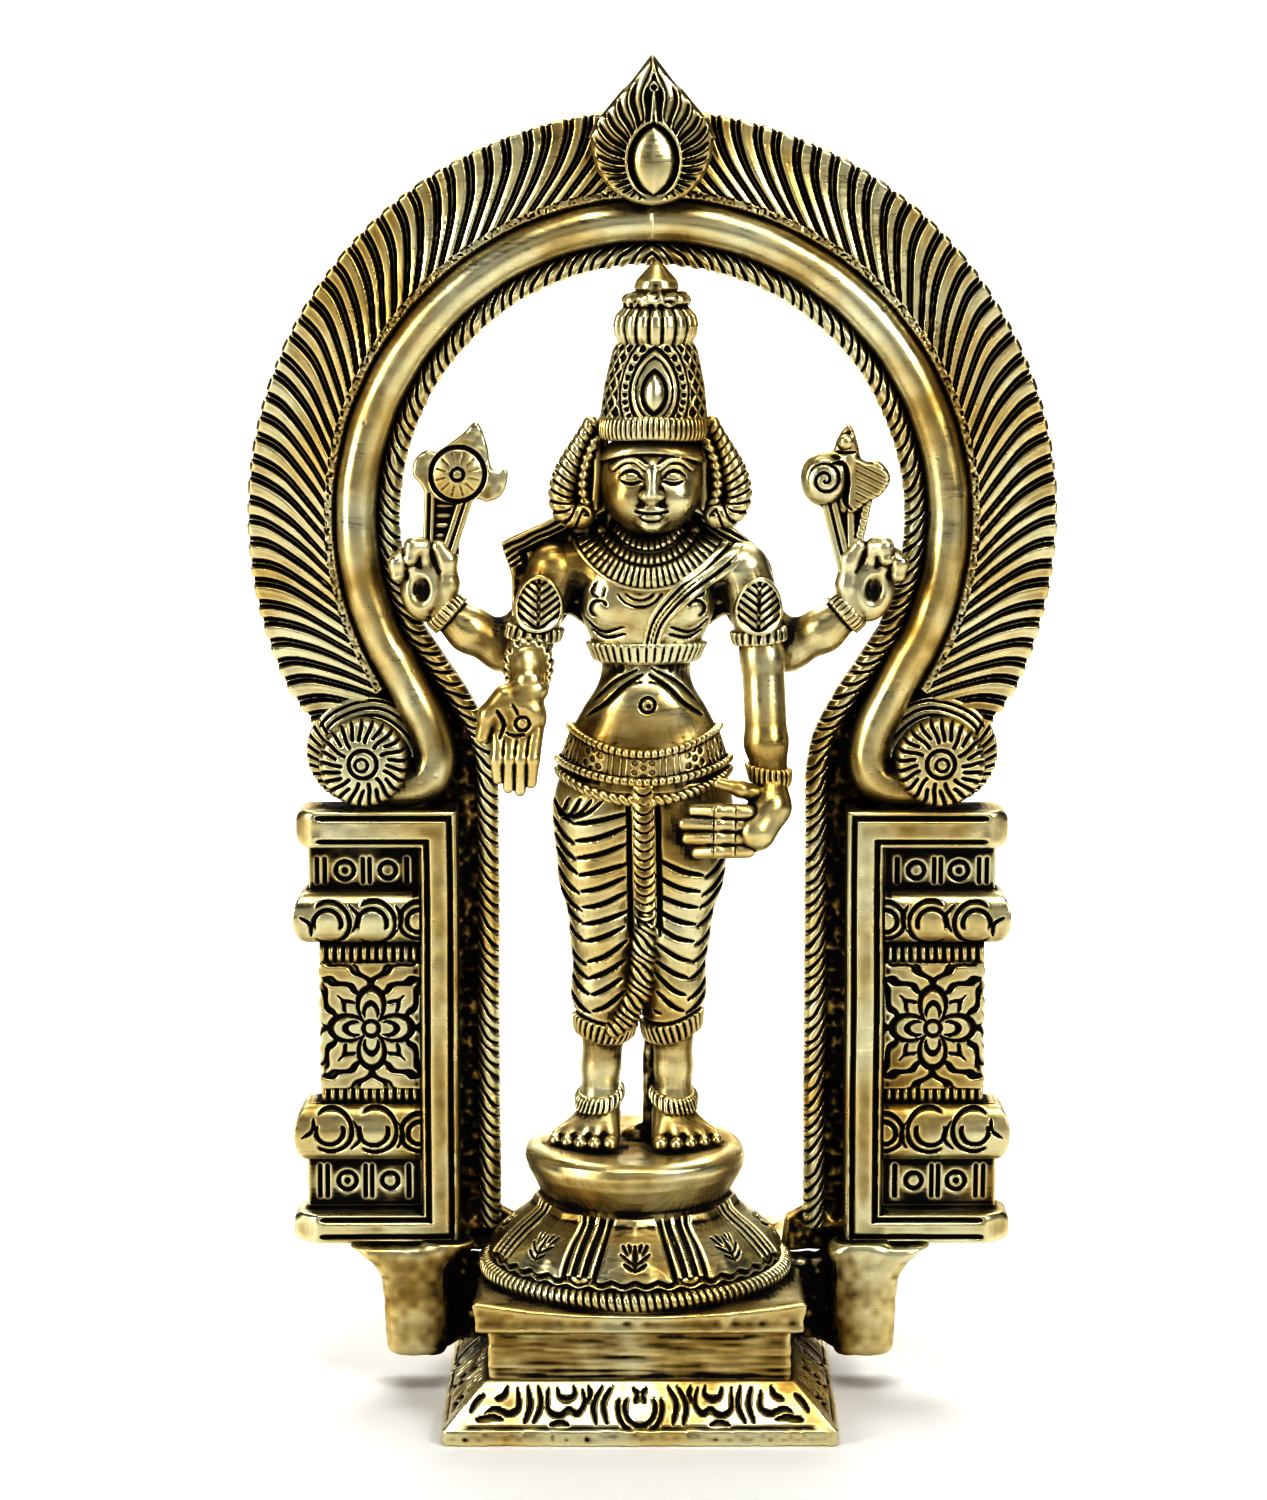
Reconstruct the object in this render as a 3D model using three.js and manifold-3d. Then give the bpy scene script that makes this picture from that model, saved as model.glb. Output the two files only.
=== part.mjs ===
// Cast brass statue of a standing four-armed deity under a feathered arch.
// Units are millimetres, +Z is up, the figure faces -Y and its own left hand is towards +X.
// The origin is on the ground, below the middle of the arch. Names say left and right as the figure does.
import * as THREE from "three";
import { mergeVertices } from "three/addons/utils/BufferGeometryUtils.js";
import Module from "manifold-3d";

const wasm = await Module();
wasm.setup();

// ---- driving dimensions ----
const GAP = 0.3; // clearance between neighbouring castings, filled by braze or wax fillet
const BACK_Y = 11; // rear plane of the arch
const PLINTH_X = -3; // the plinth and lotus seat are cast this far off the arch's middle
const FIGURE_X = -1.5; // and the figure stands between the two

// Plinth, half widths of its square plan
const FOOT_HALF = 40;
const NECK_HALF = 31;
const SLAB_HALF = 34;
const HOLLOW_HALF = 26;
const FOOT_EDGE_Z = 4.6;
const FOOT_TOP_Z = 11.2;
const SLAB_BOTTOM_Z = 21.6;
const SLAB_TOP_Z = 28;

// Lotus seat, all turned about Z
const RING_R = 32.6;
const RING_TUBE_R = 1.8;
const DOME_BASE_R = 30.2;
const DOME_TOP_Z = 40;
const DRUM_R = 23.3;
const DRUM_FOOT_R = 19.4;
const DRUM_TOP_Z = 51.5;

// Stud that clamps the lotus seat down on the plinth
const STUD_R = 3;
const STUD_BOTTOM_Z = 12;
const STUD_TOP_Z = 37;
const STUD_HOLE_R = STUD_R + GAP;
const WASHER_R = 8;
const WASHER_THICK = 1.6;
const NUT_R = 5.8;
const NUT_THICK = 5;

// Figure
const BODY_Y = -4; // its upright axis
const BODY_DEPTH = 0.56; // depth over width of the torso
const HIP_DEPTH = 0.62;
const HEM_Z = 75;
const HIP_Z = 128;
const LEG_X = 7.8;
const HEAD = new THREE.Vector3(0, -5.5, 195);
const HEAD_R = new THREE.Vector3(10.2, 9.2, 11);
const CROWN_Z = 202;

// Arch, drawn on the XZ plane
const ARCH_Z = 184; // centre of its arcs
const FEATHER_R = [66.7, 83.7];
const ROLL_R = 62.2;
const ROLL_TUBE_R = 4.1;
const ROPE_R = [54, 57.5];
const LEG_INNER_X = 34;
const LEG_BOTTOM_Z = 31.5;
const ROPE_BOTTOM_Z = 33;
const FRAME_X = [41, 50];
const FRAME_TOP_Z = 124;
const ROSETTE = new THREE.Vector3(60.5, 0, 133.6);
const ROSETTE_R = 9.6;
const TIP_Z = 279;

// ---- solids from three.js geometry ----
function solidOf(geometry) {
  const bare = new THREE.BufferGeometry();
  bare.setAttribute("position", geometry.getAttribute("position"));
  bare.setIndex(geometry.index);
  const merged = mergeVertices(bare, 1e-4);
  const corner = merged.index.array;
  const kept = [];
  for (let i = 0; i < corner.length; i += 3) {
    const [a, b, c] = corner.slice(i, i + 3);
    if (a !== b && b !== c && c !== a) kept.push(a, b, c);
  }
  const make = (triVerts) =>
    new wasm.Manifold(
      new wasm.Mesh({
        numProp: 3,
        vertProperties: merged.getAttribute("position").array,
        triVerts: new Uint32Array(triVerts),
      }),
    );
  const made = make(kept);
  return made.volume() > 0 ? made : make(kept.reverse());
}

const join = (...solids) => solids.reduce((all, one) => all.add(one));
const cut = (solid, ...others) => others.reduce((left, one) => left.subtract(one), solid);

// The one largest piece, where a cut leaves crumbs beside it.
function largest(solid) {
  const pieces = solid.decompose();
  return pieces.reduce((best, one) => (one.volume() > best.volume() ? one : best));
}

// profile is [[radius, height], ...] from bottom to top, from the axis back to the axis.
function lathe(profile, { sides = 32, depth = 1, x = 0, y = 0 } = {}) {
  const points = profile.map(([r, z]) => new THREE.Vector2(r, z));
  const turned = new THREE.LatheGeometry(points, sides);
  turned.rotateX(Math.PI / 2).scale(1, depth, 1).translate(x, y, 0);
  return solidOf(turned);
}

// A moulding round a square plan; profile holds half widths.
function squareLathe(profile) {
  const points = profile.map(([half, z]) => new THREE.Vector2(half * Math.SQRT2, z));
  const turned = new THREE.LatheGeometry(points, 4, Math.PI / 4);
  return solidOf(turned.rotateX(Math.PI / 2));
}

// An outline of [x, z] points, solid from yFront back to yBack.
function plate(outline, yFront, yBack) {
  const shape = new THREE.Shape(outline.map(([x, z]) => new THREE.Vector2(x, z)));
  const made = new THREE.ExtrudeGeometry(shape, { depth: yBack - yFront, bevelEnabled: false });
  return solidOf(made.rotateX(Math.PI / 2).translate(0, yBack, 0));
}

function box([x0, x1], [y0, y1], [z0, z1]) {
  const made = new THREE.BoxGeometry(x1 - x0, y1 - y0, z1 - z0);
  return solidOf(made.translate((x0 + x1) / 2, (y0 + y1) / 2, (z0 + z1) / 2));
}

function ball([x, y, z], [rx, ry, rz], sides = 14) {
  const made = new THREE.SphereGeometry(1, sides, Math.round(sides * 0.6));
  return solidOf(made.rotateX(Math.PI / 2).scale(rx, ry, rz).translate(x, y, z));
}

// A tapered rod from a to b.
function rod(a, b, ra, rb, sides = 10) {
  const from = new THREE.Vector3(...a);
  const along = new THREE.Vector3(...b).sub(from);
  const made = new THREE.CylinderGeometry(rb, ra, along.length(), sides);
  const turn = new THREE.Quaternion().setFromUnitVectors(
    new THREE.Vector3(0, 1, 0),
    along.clone().normalize(),
  );
  const middle = from.clone().addScaledVector(along, 0.5);
  return solidOf(made.applyQuaternion(turn).translate(...middle.toArray()));
}

// Rods through a chain of [x, y, z, radius] points, with a ball at each joint between them.
function limb(chain, grow = 0) {
  const rods = chain.slice(1).map((to, i) => {
    const from = chain[i];
    return rod(from.slice(0, 3), to.slice(0, 3), from[3] + grow, to[3] + grow);
  });
  const knuckles = chain.slice(1, -1).map(([x, y, z, r]) => {
    const radius = (r + grow) * 1.02;
    return ball([x, y, z], [radius, radius, radius], 10);
  });
  return join(...rods, ...knuckles);
}

// A tube of square-cornered or round section along [x, z] points at depth y.
function tube(points, y, section, steps) {
  const path = new THREE.CatmullRomCurve3(points.map(([x, z]) => new THREE.Vector3(x, y, z)));
  const made = new THREE.ExtrudeGeometry(section, { steps, extrudePath: path });
  return solidOf(made);
}

function roundSection(radius, sides) {
  const corner = (i) => (i * 2 * Math.PI) / sides;
  return new THREE.Shape(
    Array.from({ length: sides }, (_, i) => {
      return new THREE.Vector2(radius * Math.cos(corner(i)), radius * Math.sin(corner(i)));
    }),
  );
}

// Points of an arc about the arch's centre, from one angle to another, in degrees above +X.
function archArc(radius, from, to, steps) {
  return Array.from({ length: steps + 1 }, (_, i) => {
    const angle = THREE.MathUtils.degToRad(from + ((to - from) * i) / steps);
    return [radius * Math.cos(angle), ARCH_Z + radius * Math.sin(angle)];
  });
}

const mirrored = (solid) => solid.mirror([1, 0, 0]);

// ---- plinth: one hollow casting, open underneath ----
function plinthFoot() {
  return squareLathe([
    [HOLLOW_HALF, 0],
    [FOOT_HALF - 0.8, 0],
    [FOOT_HALF, 1.2],
    [FOOT_HALF, FOOT_EDGE_Z - 0.5],
    [FOOT_HALF - 1.2, FOOT_EDGE_Z + 0.2],
    [FOOT_HALF - 4.5, FOOT_EDGE_Z + 2.4],
    [NECK_HALF + 1, FOOT_TOP_Z],
    [HOLLOW_HALF, FOOT_TOP_Z],
    [HOLLOW_HALF, 0],
  ]);
}

function plinthNeck() {
  return squareLathe([
    [HOLLOW_HALF, FOOT_TOP_Z],
    [NECK_HALF, FOOT_TOP_Z],
    [NECK_HALF, SLAB_BOTTOM_Z],
    [HOLLOW_HALF, SLAB_BOTTOM_Z],
    [HOLLOW_HALF, FOOT_TOP_Z],
  ]);
}

const slabShape = (grow = 0) =>
  squareLathe([
    [0, SLAB_BOTTOM_Z - grow],
    [SLAB_HALF - 1.2 + grow, SLAB_BOTTOM_Z - grow],
    [SLAB_HALF + grow, SLAB_BOTTOM_Z + 1.2],
    [SLAB_HALF - 0.6 + grow, SLAB_BOTTOM_Z + 4],
    [SLAB_HALF + grow, SLAB_TOP_Z + grow],
    [0, SLAB_TOP_Z + grow],
  ]);

const studHole = (z0, z1) =>
  lathe([[0, z0], [STUD_HOLE_R, z0], [STUD_HOLE_R, z1], [0, z1]], { sides: 24 });

const plinthSlab = () => cut(slabShape(), studHole(SLAB_BOTTOM_Z - 1, SLAB_TOP_Z + 1));

// ---- lotus seat, turned about Z ----
const domeShape = (grow = 0) =>
  lathe([
    [0, SLAB_TOP_Z],
    [DOME_BASE_R - 0.6 + grow, SLAB_TOP_Z],
    [DOME_BASE_R + grow, SLAB_TOP_Z + 2.5],
    [DOME_BASE_R - 1.6 + grow, SLAB_TOP_Z + 5],
    [DOME_BASE_R - 4.6 + grow, SLAB_TOP_Z + 8],
    [DOME_BASE_R - 8 + grow, SLAB_TOP_Z + 10.6],
    [DRUM_FOOT_R - 1.2 + grow, DOME_TOP_Z],
    [0, DOME_TOP_Z],
  ]);

const lotusDome = () => cut(domeShape(), studHole(SLAB_TOP_Z - 1, STUD_TOP_Z + GAP));

// The rope rim lies on the slab round the dome's foot.
function ropeRim(grow = 0) {
  const ringZ = SLAB_TOP_Z + RING_TUBE_R;
  const corners = Array.from({ length: 8 }, (_, i) => {
    const angle = ((i + 0.5) * Math.PI) / 4;
    const reach = (RING_TUBE_R + grow) / Math.cos(Math.PI / 8);
    return [RING_R + reach * Math.cos(angle), ringZ + reach * Math.sin(angle)];
  });
  return lathe([...corners, corners[0]], { sides: 40 });
}

const footDrum = () =>
  lathe([
    [0, DOME_TOP_Z],
    [DRUM_FOOT_R, DOME_TOP_Z],
    [DRUM_FOOT_R + 0.4, DOME_TOP_Z + 2],
    [DRUM_R - 1.4, DRUM_TOP_Z - 6.5],
    [DRUM_R, DRUM_TOP_Z - 3],
    [DRUM_R - 0.6, DRUM_TOP_Z - 1],
    [DRUM_R - 2.4, DRUM_TOP_Z],
    [0, DRUM_TOP_Z],
  ]);

const fixingStud = () =>
  lathe(
    [[0, STUD_BOTTOM_Z], [STUD_R, STUD_BOTTOM_Z], [STUD_R, STUD_TOP_Z], [0, STUD_TOP_Z]],
    { sides: 16 },
  );

function turnedRing(inner, outer, z0, z1, sides) {
  return lathe([[inner, z0], [outer, z0], [outer, z1], [inner, z1], [inner, z0]], { sides });
}

const WASHER_BOTTOM_Z = SLAB_BOTTOM_Z - WASHER_THICK;
const fixingWasher = () => turnedRing(STUD_HOLE_R, WASHER_R, WASHER_BOTTOM_Z, SLAB_BOTTOM_Z, 24);

function fixingNut() {
  const bottom = WASHER_BOTTOM_Z - NUT_THICK;
  const hexagon = lathe([[0, bottom], [NUT_R, bottom], [NUT_R, WASHER_BOTTOM_Z], [0, WASHER_BOTTOM_Z]], {
    sides: 6,
  });
  return cut(hexagon, studHole(bottom - 1, WASHER_BOTTOM_Z + 1));
}

// ---- figure ----
// Half widths of the torso from hip to neck.
const torso = (grow = 0) =>
  lathe(
    [
      [0, HIP_Z],
      [18.2 + grow, HIP_Z],
      [17.4 + grow, 133],
      [15.8 + grow, 139],
      [13.2 + grow, 144],
      [10 + grow, 148],
      [9 + grow, 151.5],
      [9.6 + grow, 156],
      [12 + grow, 161],
      [13.8 + grow, 167],
      [15 + grow, 173],
      [14 + grow, 178],
      [9 + grow, 181],
      [5.4 + grow, 183],
      [5 + grow, 187 + grow],
      [0, 187 + grow],
    ],
    { sides: 28, depth: BODY_DEPTH, y: BODY_Y },
  );

// The wrapped lower garment: one solid at the hips, two legs below.
function dhoti(grow = 0) {
  const hips = lathe(
    [
      [0, 88],
      [14 + grow, 88],
      [16 + grow, 98],
      [17.6 + grow, 108],
      [19.4 + grow, 118],
      [19.6 + grow, 123],
      [18.8 + grow, HIP_Z],
      [0, HIP_Z],
    ],
    { sides: 28, depth: HIP_DEPTH, y: BODY_Y },
  );
  const leg = (x) =>
    lathe(
      [
        [0, HEM_Z],
        [5.4 + grow, HEM_Z],
        [5.9 + grow, HEM_Z + 3],
        [6.8 + grow, HEM_Z + 14],
        [7.4 + grow, HEM_Z + 24],
        [0, HEM_Z + 26],
      ],
      { sides: 16, x, y: BODY_Y },
    );
  return join(hips, leg(LEG_X), leg(-LEG_X));
}

// The folded front pleat hangs down the middle of the garment.
function dhotiPleat() {
  const strip = box([-2.4, 2.4], [-20, BODY_Y], [91, HIP_Z - GAP]);
  return largest(cut(strip.intersect(dhoti(1.6)), dhoti(GAP)));
}

// A band that follows the body between two heights.
function bodyBand(shape, thickness, z0, z1) {
  const slice = box([-60, 60], [-40, 40], [z0, z1]);
  return cut(shape(thickness).intersect(slice), shape(GAP));
}

// A flat collar round the neck, seen from the front as a ring.
function necklace() {
  const disc = (r, front, back) =>
    rod([0, front, 188], [0, back, 188], r, r, 40);
  const collar = cut(disc(15, -30, BODY_Y), disc(9.4, -31, BODY_Y + 1));
  return largest(cut(torso(1.9).intersect(collar), torso(GAP)));
}

// A cloth band from the left shoulder down to the right side of the waist.
function sash() {
  const strap = plate([[9.5, 181], [14.5, 179], [2, 158], [-5.5, 158]], -30, BODY_Y);
  const bare = cut(torso(1.1).intersect(strap), torso(GAP), bodyBand(torso, 1.9, 153.7, 159.3));
  const collarRoom = rod([0, -31, 188], [0, BODY_Y + 1, 188], 15 + GAP, 15 + GAP, 40);
  return largest(cut(bare, collarRoom));
}

function foot(side) {
  const plan = new THREE.Shape();
  plan.moveTo(5.4, 2.4);
  plan.quadraticCurveTo(8, 4.4, 10.6, 2.4);
  plan.lineTo(16.6, -9.6);
  plan.quadraticCurveTo(14, -14.6, 4.6, -13.8);
  plan.closePath();
  const sole = solidOf(
    new THREE.ExtrudeGeometry(plan, { depth: 2.6, bevelEnabled: false, curveSegments: 6 })
      .translate(0, BODY_Y + 2, DRUM_TOP_Z),
  );
  const instep = rod([LEG_X + 0.2, BODY_Y, 58], [LEG_X + 2.2, -11.5, 53.6], 3.6, 2, 10);
  const ankle = lathe(
    [[0, DRUM_TOP_Z], [4.2, DRUM_TOP_Z], [3.7, 60], [3.5, 66], [4.1, HEM_Z], [0, HEM_Z]],
    { sides: 16, x: LEG_X, y: BODY_Y },
  );
  const aboveDrum = box([-60, 60], [-60, 60], [DRUM_TOP_Z, HEM_Z]);
  const made = join(sole, instep, ankle).intersect(aboveDrum);
  return side > 0 ? made : mirrored(made);
}

function anklet(side) {
  const ring = lathe(
    [[4.5, 61.4], [5.4, 61.4], [5.8, 62.8], [5.4, 64.2], [4.5, 64.2], [4.5, 61.4]],
    { sides: 20, x: LEG_X, y: BODY_Y },
  );
  return side > 0 ? ring : mirrored(ring);
}

const headShape = (grow = 0) =>
  ball(HEAD.toArray(), HEAD_R.toArray().map((r) => r + grow), 20);

function head() {
  const belowCrown = box([-40, 40], [-40, 40], [150, CROWN_Z]);
  return cut(headShape().intersect(belowCrown), torso(GAP));
}

const onHeadAxis = { sides: 24, y: HEAD.y + 1 };
const crownBand = () =>
  lathe([[0, CROWN_Z], [12.2, CROWN_Z], [12.6, 204], [12, 206], [0, 206]], onHeadAxis);
const crownCone = () =>
  lathe([[0, 206], [11.2, 206], [10.2, 214], [8.4, 222], [0, 222]], onHeadAxis);
const crownBulb = () =>
  lathe(
    [
      [0, 222],
      [6.8, 222],
      [8, 224.5],
      [7.8, 228],
      [6.4, 229.8],
      [6, 232],
      [0, 232],
    ],
    onHeadAxis,
  );
const crownBud = () =>
  lathe([[0, 232], [3.6, 232], [4, 233.6], [2.2, 236.4], [0, 239]], { ...onHeadAxis, sides: 16 });

// Shoulder, elbow and wrist of each arm, as [x, y, z, radius]; x is for the figure's left.
const UPPER_ARM = [[18.6, -4, 174.6, 4.9], [21.6, -4, 167, 4.5], [23.4, -3.4, 158.4, 4]];
const LEFT_FOREARM = [[23.5, -3.4, 157.8, 3.9], [24.6, -5, 146, 3.5], [24.8, -6.5, 132.6, 2.8]];
const RIGHT_FOREARM = [[23.6, -5.4, 156.8, 3.6], [24.4, -11, 155.2, 3.2], [25, -14.4, 153.4, 2.9]];
const REAR_ARM = [[13, 2.2, 177, 4], [29, 1.6, 158.4, 3.8], [42, -0.6, 168.6, 2.8]];

const shoulder = (grow) => ball([18.4, -4, 174.8], [5.6 + grow, 5.2 + grow, 5.6 + grow]);
const upperArm = (grow = 0) => join(shoulder(grow), limb(UPPER_ARM, grow));

const leftArmShape = (grow = 0) => join(upperArm(grow), limb(LEFT_FOREARM, grow));
const rightArmShape = (grow = 0) => mirrored(join(upperArm(grow), limb(RIGHT_FOREARM, grow)));

const leftArm = () => largest(cut(leftArmShape(), torso(GAP), dhoti(GAP)));
const rightArm = () => largest(cut(rightArmShape(), torso(GAP)));

// A cuff round an arm: the slice of a thicker arm between two heights.
function cuff(arm, thickness, xs, ys, zs, ...neighbours) {
  const slice = box(xs, ys, zs);
  return largest(cut(arm(thickness).intersect(slice), arm(GAP), torso(GAP), ...neighbours));
}

const ARMLET_Z = [164.6, 169];
const leftArmlet = () => cuff(leftArmShape, 1.3, [14, 40], [-20, -1], ARMLET_Z);
const rightArmlet = () => cuff(rightArmShape, 1.3, [-40, -14], [-20, -1], ARMLET_Z);
const BRACELET_Z = [133.2, 136.4];
const leftBracelet = () =>
  cuff(leftArmShape, 1.1, [14, 40], [-20, 10], BRACELET_Z, dhoti(GAP));
const rightBracelet = () => cuff(rightArmShape, 1.1, [-40, -14], [-13.2, -10.4], [140, 170]);

// Fingers in a row, each from a knuckle to a tip.
const fingers = (pairs, r0, r1) => pairs.map(([from, to]) => rod(from, to, r0, r1, 8));

// The open right hand hangs fingers down with its palm to the front.
function rightHand() {
  const y = -15.6;
  const palm = ball([-25.6, y, 148.6], [5.8, 2.6, 5.6]);
  const row = [0, 1, 2, 3].map((i) => [
    [-29.4 + i * 2.6, y, 146],
    [-29.6 + i * 2.3, y - 0.4, 135.4 - (i % 3 ? 1 : 0)],
  ]);
  const thumb = limb([[-29.4, y, 150, 1.7], [-32.6, y - 0.6, 146.6, 1.5], [-32.2, y - 1, 142.8, 1.2]]);
  return largest(cut(join(palm, ...fingers(row, 1.5, 1.15), thumb), rightArmShape(GAP)));
}

// The left hand turns inward and lies on the thigh with its fingers level.
function leftHand() {
  const heel = limb([[24.6, -8, 131, 2.9], [26, -10, 126, 3.6], [20.4, -14.6, 124.8, 3.6]]);
  const row = [0, 1, 2, 3].map((i) => [
    [20.6, -16, 128.4 - i * 2.4],
    [9.6, -18.2, 128.2 - i * 2.4],
  ]);
  const thumb = rod([23.4, -11.6, 128.6], [15, -16.4, 131], 1.7, 1.2, 8);
  const made = join(heel, ...fingers(row, 1.5, 1.2), thumb);
  return largest(cut(made, dhoti(GAP), leftArmShape(GAP), torso(GAP), bodyBand(torso, 2.3, HIP_Z, 139)));
}

const rearArmShape = (grow = 0) => limb(REAR_ARM, grow);

function rearArm(side) {
  const made = side > 0 ? rearArmShape() : mirrored(rearArmShape());
  const front = side > 0 ? leftArmShape(GAP) : rightArmShape(GAP);
  const armletRoom = box([-40, 40], [-20, -1 + GAP], [ARMLET_Z[0] - GAP, ARMLET_Z[1] + GAP]);
  const nearFront = side > 0 ? leftArmShape(1.6) : rightArmShape(1.6);
  return largest(cut(made, torso(GAP), front, armletRoom.intersect(nearFront)));
}

// A raised hand with two fingers up that carry an emblem.
function rearHandShape(grow = 0) {
  const palm = ball([46, -2.2, 174.6], [4.6 + grow, 3.4 + grow, 5.8 + grow]);
  const curled = [0, 1].map((i) =>
    limb([[48.6 - i * 2.6, -4.6, 178, 1.6], [49.6 - i * 3, -5.4, 181, 1.4]], grow),
  );
  const raised = limb([[43.4, -2.4, 178, 1.7], [42.4, -3, 185.6, 1.4]], grow);
  return join(palm, ...curled, raised);
}

function rearHand(side) {
  const made = cut(rearHandShape(), rearArmShape(GAP));
  return side > 0 ? largest(made) : mirrored(largest(made));
}

// Outline helper for the emblems: lobes of the given radii about a centre.
function lobed(cx, cz, radii) {
  const outline = radii.map((r, i) => {
    const angle = (i * 2 * Math.PI) / radii.length;
    return [cx + r * Math.cos(angle), cz + r * Math.sin(angle)];
  });
  return plate(outline, -5.4, -2.4);
}

function discus() {
  const wheel = rod([-39.6, -6.2, 197.2], [-39.6, -2, 197.2], 5.6, 5.6, 24);
  const flames = lobed(-39.6, 197.2, [10.2, 8, 5, 9.2, 5, 8.6, 8, 5.4, 5.4, 6.4, 6.4, 5.6]);
  const stem = rod([-42, -3.8, 186.2], [-40, -3.8, 193], 1.8, 2.4, 10);
  return largest(cut(join(wheel, flames, stem), mirrored(rearHandShape(GAP))));
}

function conch() {
  const shell = ball([37.4, -4, 198], [5.6, 3, 6.6]);
  const wings = lobed(39.6, 197.6, [9.2, 7, 5, 9, 5, 6, 8.6, 6, 6, 6, 6, 6]);
  const stem = rod([42, -3.8, 186.2], [40, -3.8, 193], 1.8, 2.4, 10);
  return largest(cut(join(shell, wings, stem), rearHandShape(GAP)));
}

// Ear with its heavy pendant, from the crown band to the shoulder.
function earPendant(side) {
  const outline = [
    [10.4, 202 - GAP],
    [13.4, 202 - GAP],
    [17, 197],
    [20.2, 190.5],
    [19.8, 186.8],
    [17.4, 185],
    [14.2, 186.4],
    [12.4, 189],
    [10.4, 190],
  ];
  const slab = plate(outline, -9.4, -3);
  const made = largest(cut(slab, headShape(GAP), torso(GAP), leftArmShape(GAP)));
  return side > 0 ? made : mirrored(made);
}

// ---- arch, built for the figure's left side and mirrored for its right ----
const ROLL_PATH = [
  ...archArc(ROLL_R, 90, -12, 14),
  [56.6, 159.6],
  [50.4, 150],
  [45.4, 141.4],
  [43.2, 135.2],
  [44.2, 131],
  [47.2, 128.6],
];

// Centre line of the rope moulding from the crown of the arch to the foot of the leg.
const ROPE_HALF = (ROPE_R[1] - ROPE_R[0]) / 2;
const ROPE_PATH = [
  ...archArc(ROPE_R[0] + ROPE_HALF, 90, -20, 16),
  [47.4, 155.2],
  [42, 145.4],
  [37.8, 137.4],
  [36, 131],
  [LEG_INNER_X + ROPE_HALF, 124],
  [LEG_INNER_X + ROPE_HALF, 100],
  [LEG_INNER_X + ROPE_HALF, 66],
  [LEG_INNER_X + ROPE_HALF, ROPE_BOTTOM_Z],
];

const leftOnly = box([0.15, 200], [-60, 60], [0, 300]);

const roll = (grow = 0) => tube(ROLL_PATH, 2.6, roundSection(ROLL_TUBE_R + grow, 8), 36);

function rope(grow = 0) {
  const half = ROPE_HALF + grow;
  const section = new THREE.Shape([
    new THREE.Vector2(-3.4 - grow, -half),
    new THREE.Vector2(3.4 + grow, -half),
    new THREE.Vector2(3.4 + grow, half),
    new THREE.Vector2(-3.4 - grow, half),
  ]);
  return tube(ROPE_PATH, BACK_Y - 3.4, section, 40);
}

const rosetteShape = (grow = 0) => {
  const disc = new THREE.LatheGeometry(
    [
      [0, -7],
      [ROSETTE_R + grow, -7],
      [ROSETTE_R + grow, 1],
      [ROSETTE_R - 1.6 + grow, 2.6 + grow],
      [0, 3.2 + grow],
    ].map(([r, height]) => new THREE.Vector2(r, height)),
    28,
  );
  return solidOf(disc.rotateX(Math.PI).translate(ROSETTE.x, 0, ROSETTE.z));
};

const leafOutline = (grow = 0) => {
  const belly = 12.2 + grow;
  const centre = 260.4;
  const bowl = Array.from({ length: 15 }, (_, i) => {
    const angle = THREE.MathUtils.degToRad(-205 + (i * 230) / 14);
    return [belly * Math.cos(angle), centre + belly * Math.sin(angle)];
  });
  return [...bowl, [6, 272.4 + grow], [0, TIP_Z + grow], [-6, 272.4 + grow]];
};
const leafShape = (grow = 0) => plate(leafOutline(grow), -4 - grow, BACK_Y);

// The flat C-shaped frame of one leg, with the peg that locates it in its boss.
const PEG = { x: [47.3, 49.7], y: [-1, 5], z: [20, LEG_BOTTOM_Z + 1] };
function legFrameShape(grow = 0) {
  const inner = FRAME_X[1] + grow;
  const outline = [
    [FRAME_X[0] - grow, LEG_BOTTOM_Z],
    [76 + grow, LEG_BOTTOM_Z],
    [76 + grow, 38 + grow],
    [inner, 38 + grow],
    [inner, 115.8 - grow],
    [74.7 + grow, 115.8 - grow],
    [74.7 + grow, FRAME_TOP_Z + grow],
    [FRAME_X[0] - grow, FRAME_TOP_Z + grow],
  ];
  return plate(outline, -3 - grow, BACK_Y);
}
const legFrame = () => join(legFrameShape(), box(PEG.x, PEG.y, PEG.z));

// Feather band outside the roll; its lower end runs down behind the rosette to the frame.
function featherBand() {
  const outline = [
    ...archArc(FEATHER_R[1], 90, -33, 26),
    [69.4, 132],
    [68.4, FRAME_TOP_Z + GAP],
    [52, FRAME_TOP_Z + GAP],
    [48.4, 141],
    [54.4, 149.6],
    ...archArc(FEATHER_R[0], -20, 90, 22),
  ];
  const band = plate(outline, 2, BACK_Y).intersect(leftOnly);
  return largest(cut(band, roll(GAP), rosetteShape(GAP), leafShape(GAP)));
}

// Thin web that closes the arch behind the roll, between rope and feathers.
function backWeb() {
  const outline = [
    ...archArc(FEATHER_R[0] - GAP, 90, -20, 22),
    [54, 150],
    [48, 141.3],
    [51.6, FRAME_TOP_Z + GAP],
    [FRAME_X[0] - GAP, FRAME_TOP_Z + GAP],
    [FRAME_X[0] - GAP, ROPE_BOTTOM_Z],
    [LEG_INNER_X + 1, ROPE_BOTTOM_Z],
    [LEG_INNER_X + 1, 131],
    [38, 139.6],
    [46, 155],
    ...archArc(ROPE_R[0] + 1, -20, 90, 20),
  ];
  const web = plate(outline, 7.2, BACK_Y).intersect(leftOnly);
  return largest(cut(web, rope(GAP), roll(GAP), rosetteShape(GAP), leafShape(GAP), featherBand()));
}

const rollMoulding = () =>
  largest(cut(roll().intersect(leftOnly), rosetteShape(GAP), leafShape(GAP), rope(GAP)));
const ropeMoulding = () => largest(rope().intersect(leftOnly));

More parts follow.
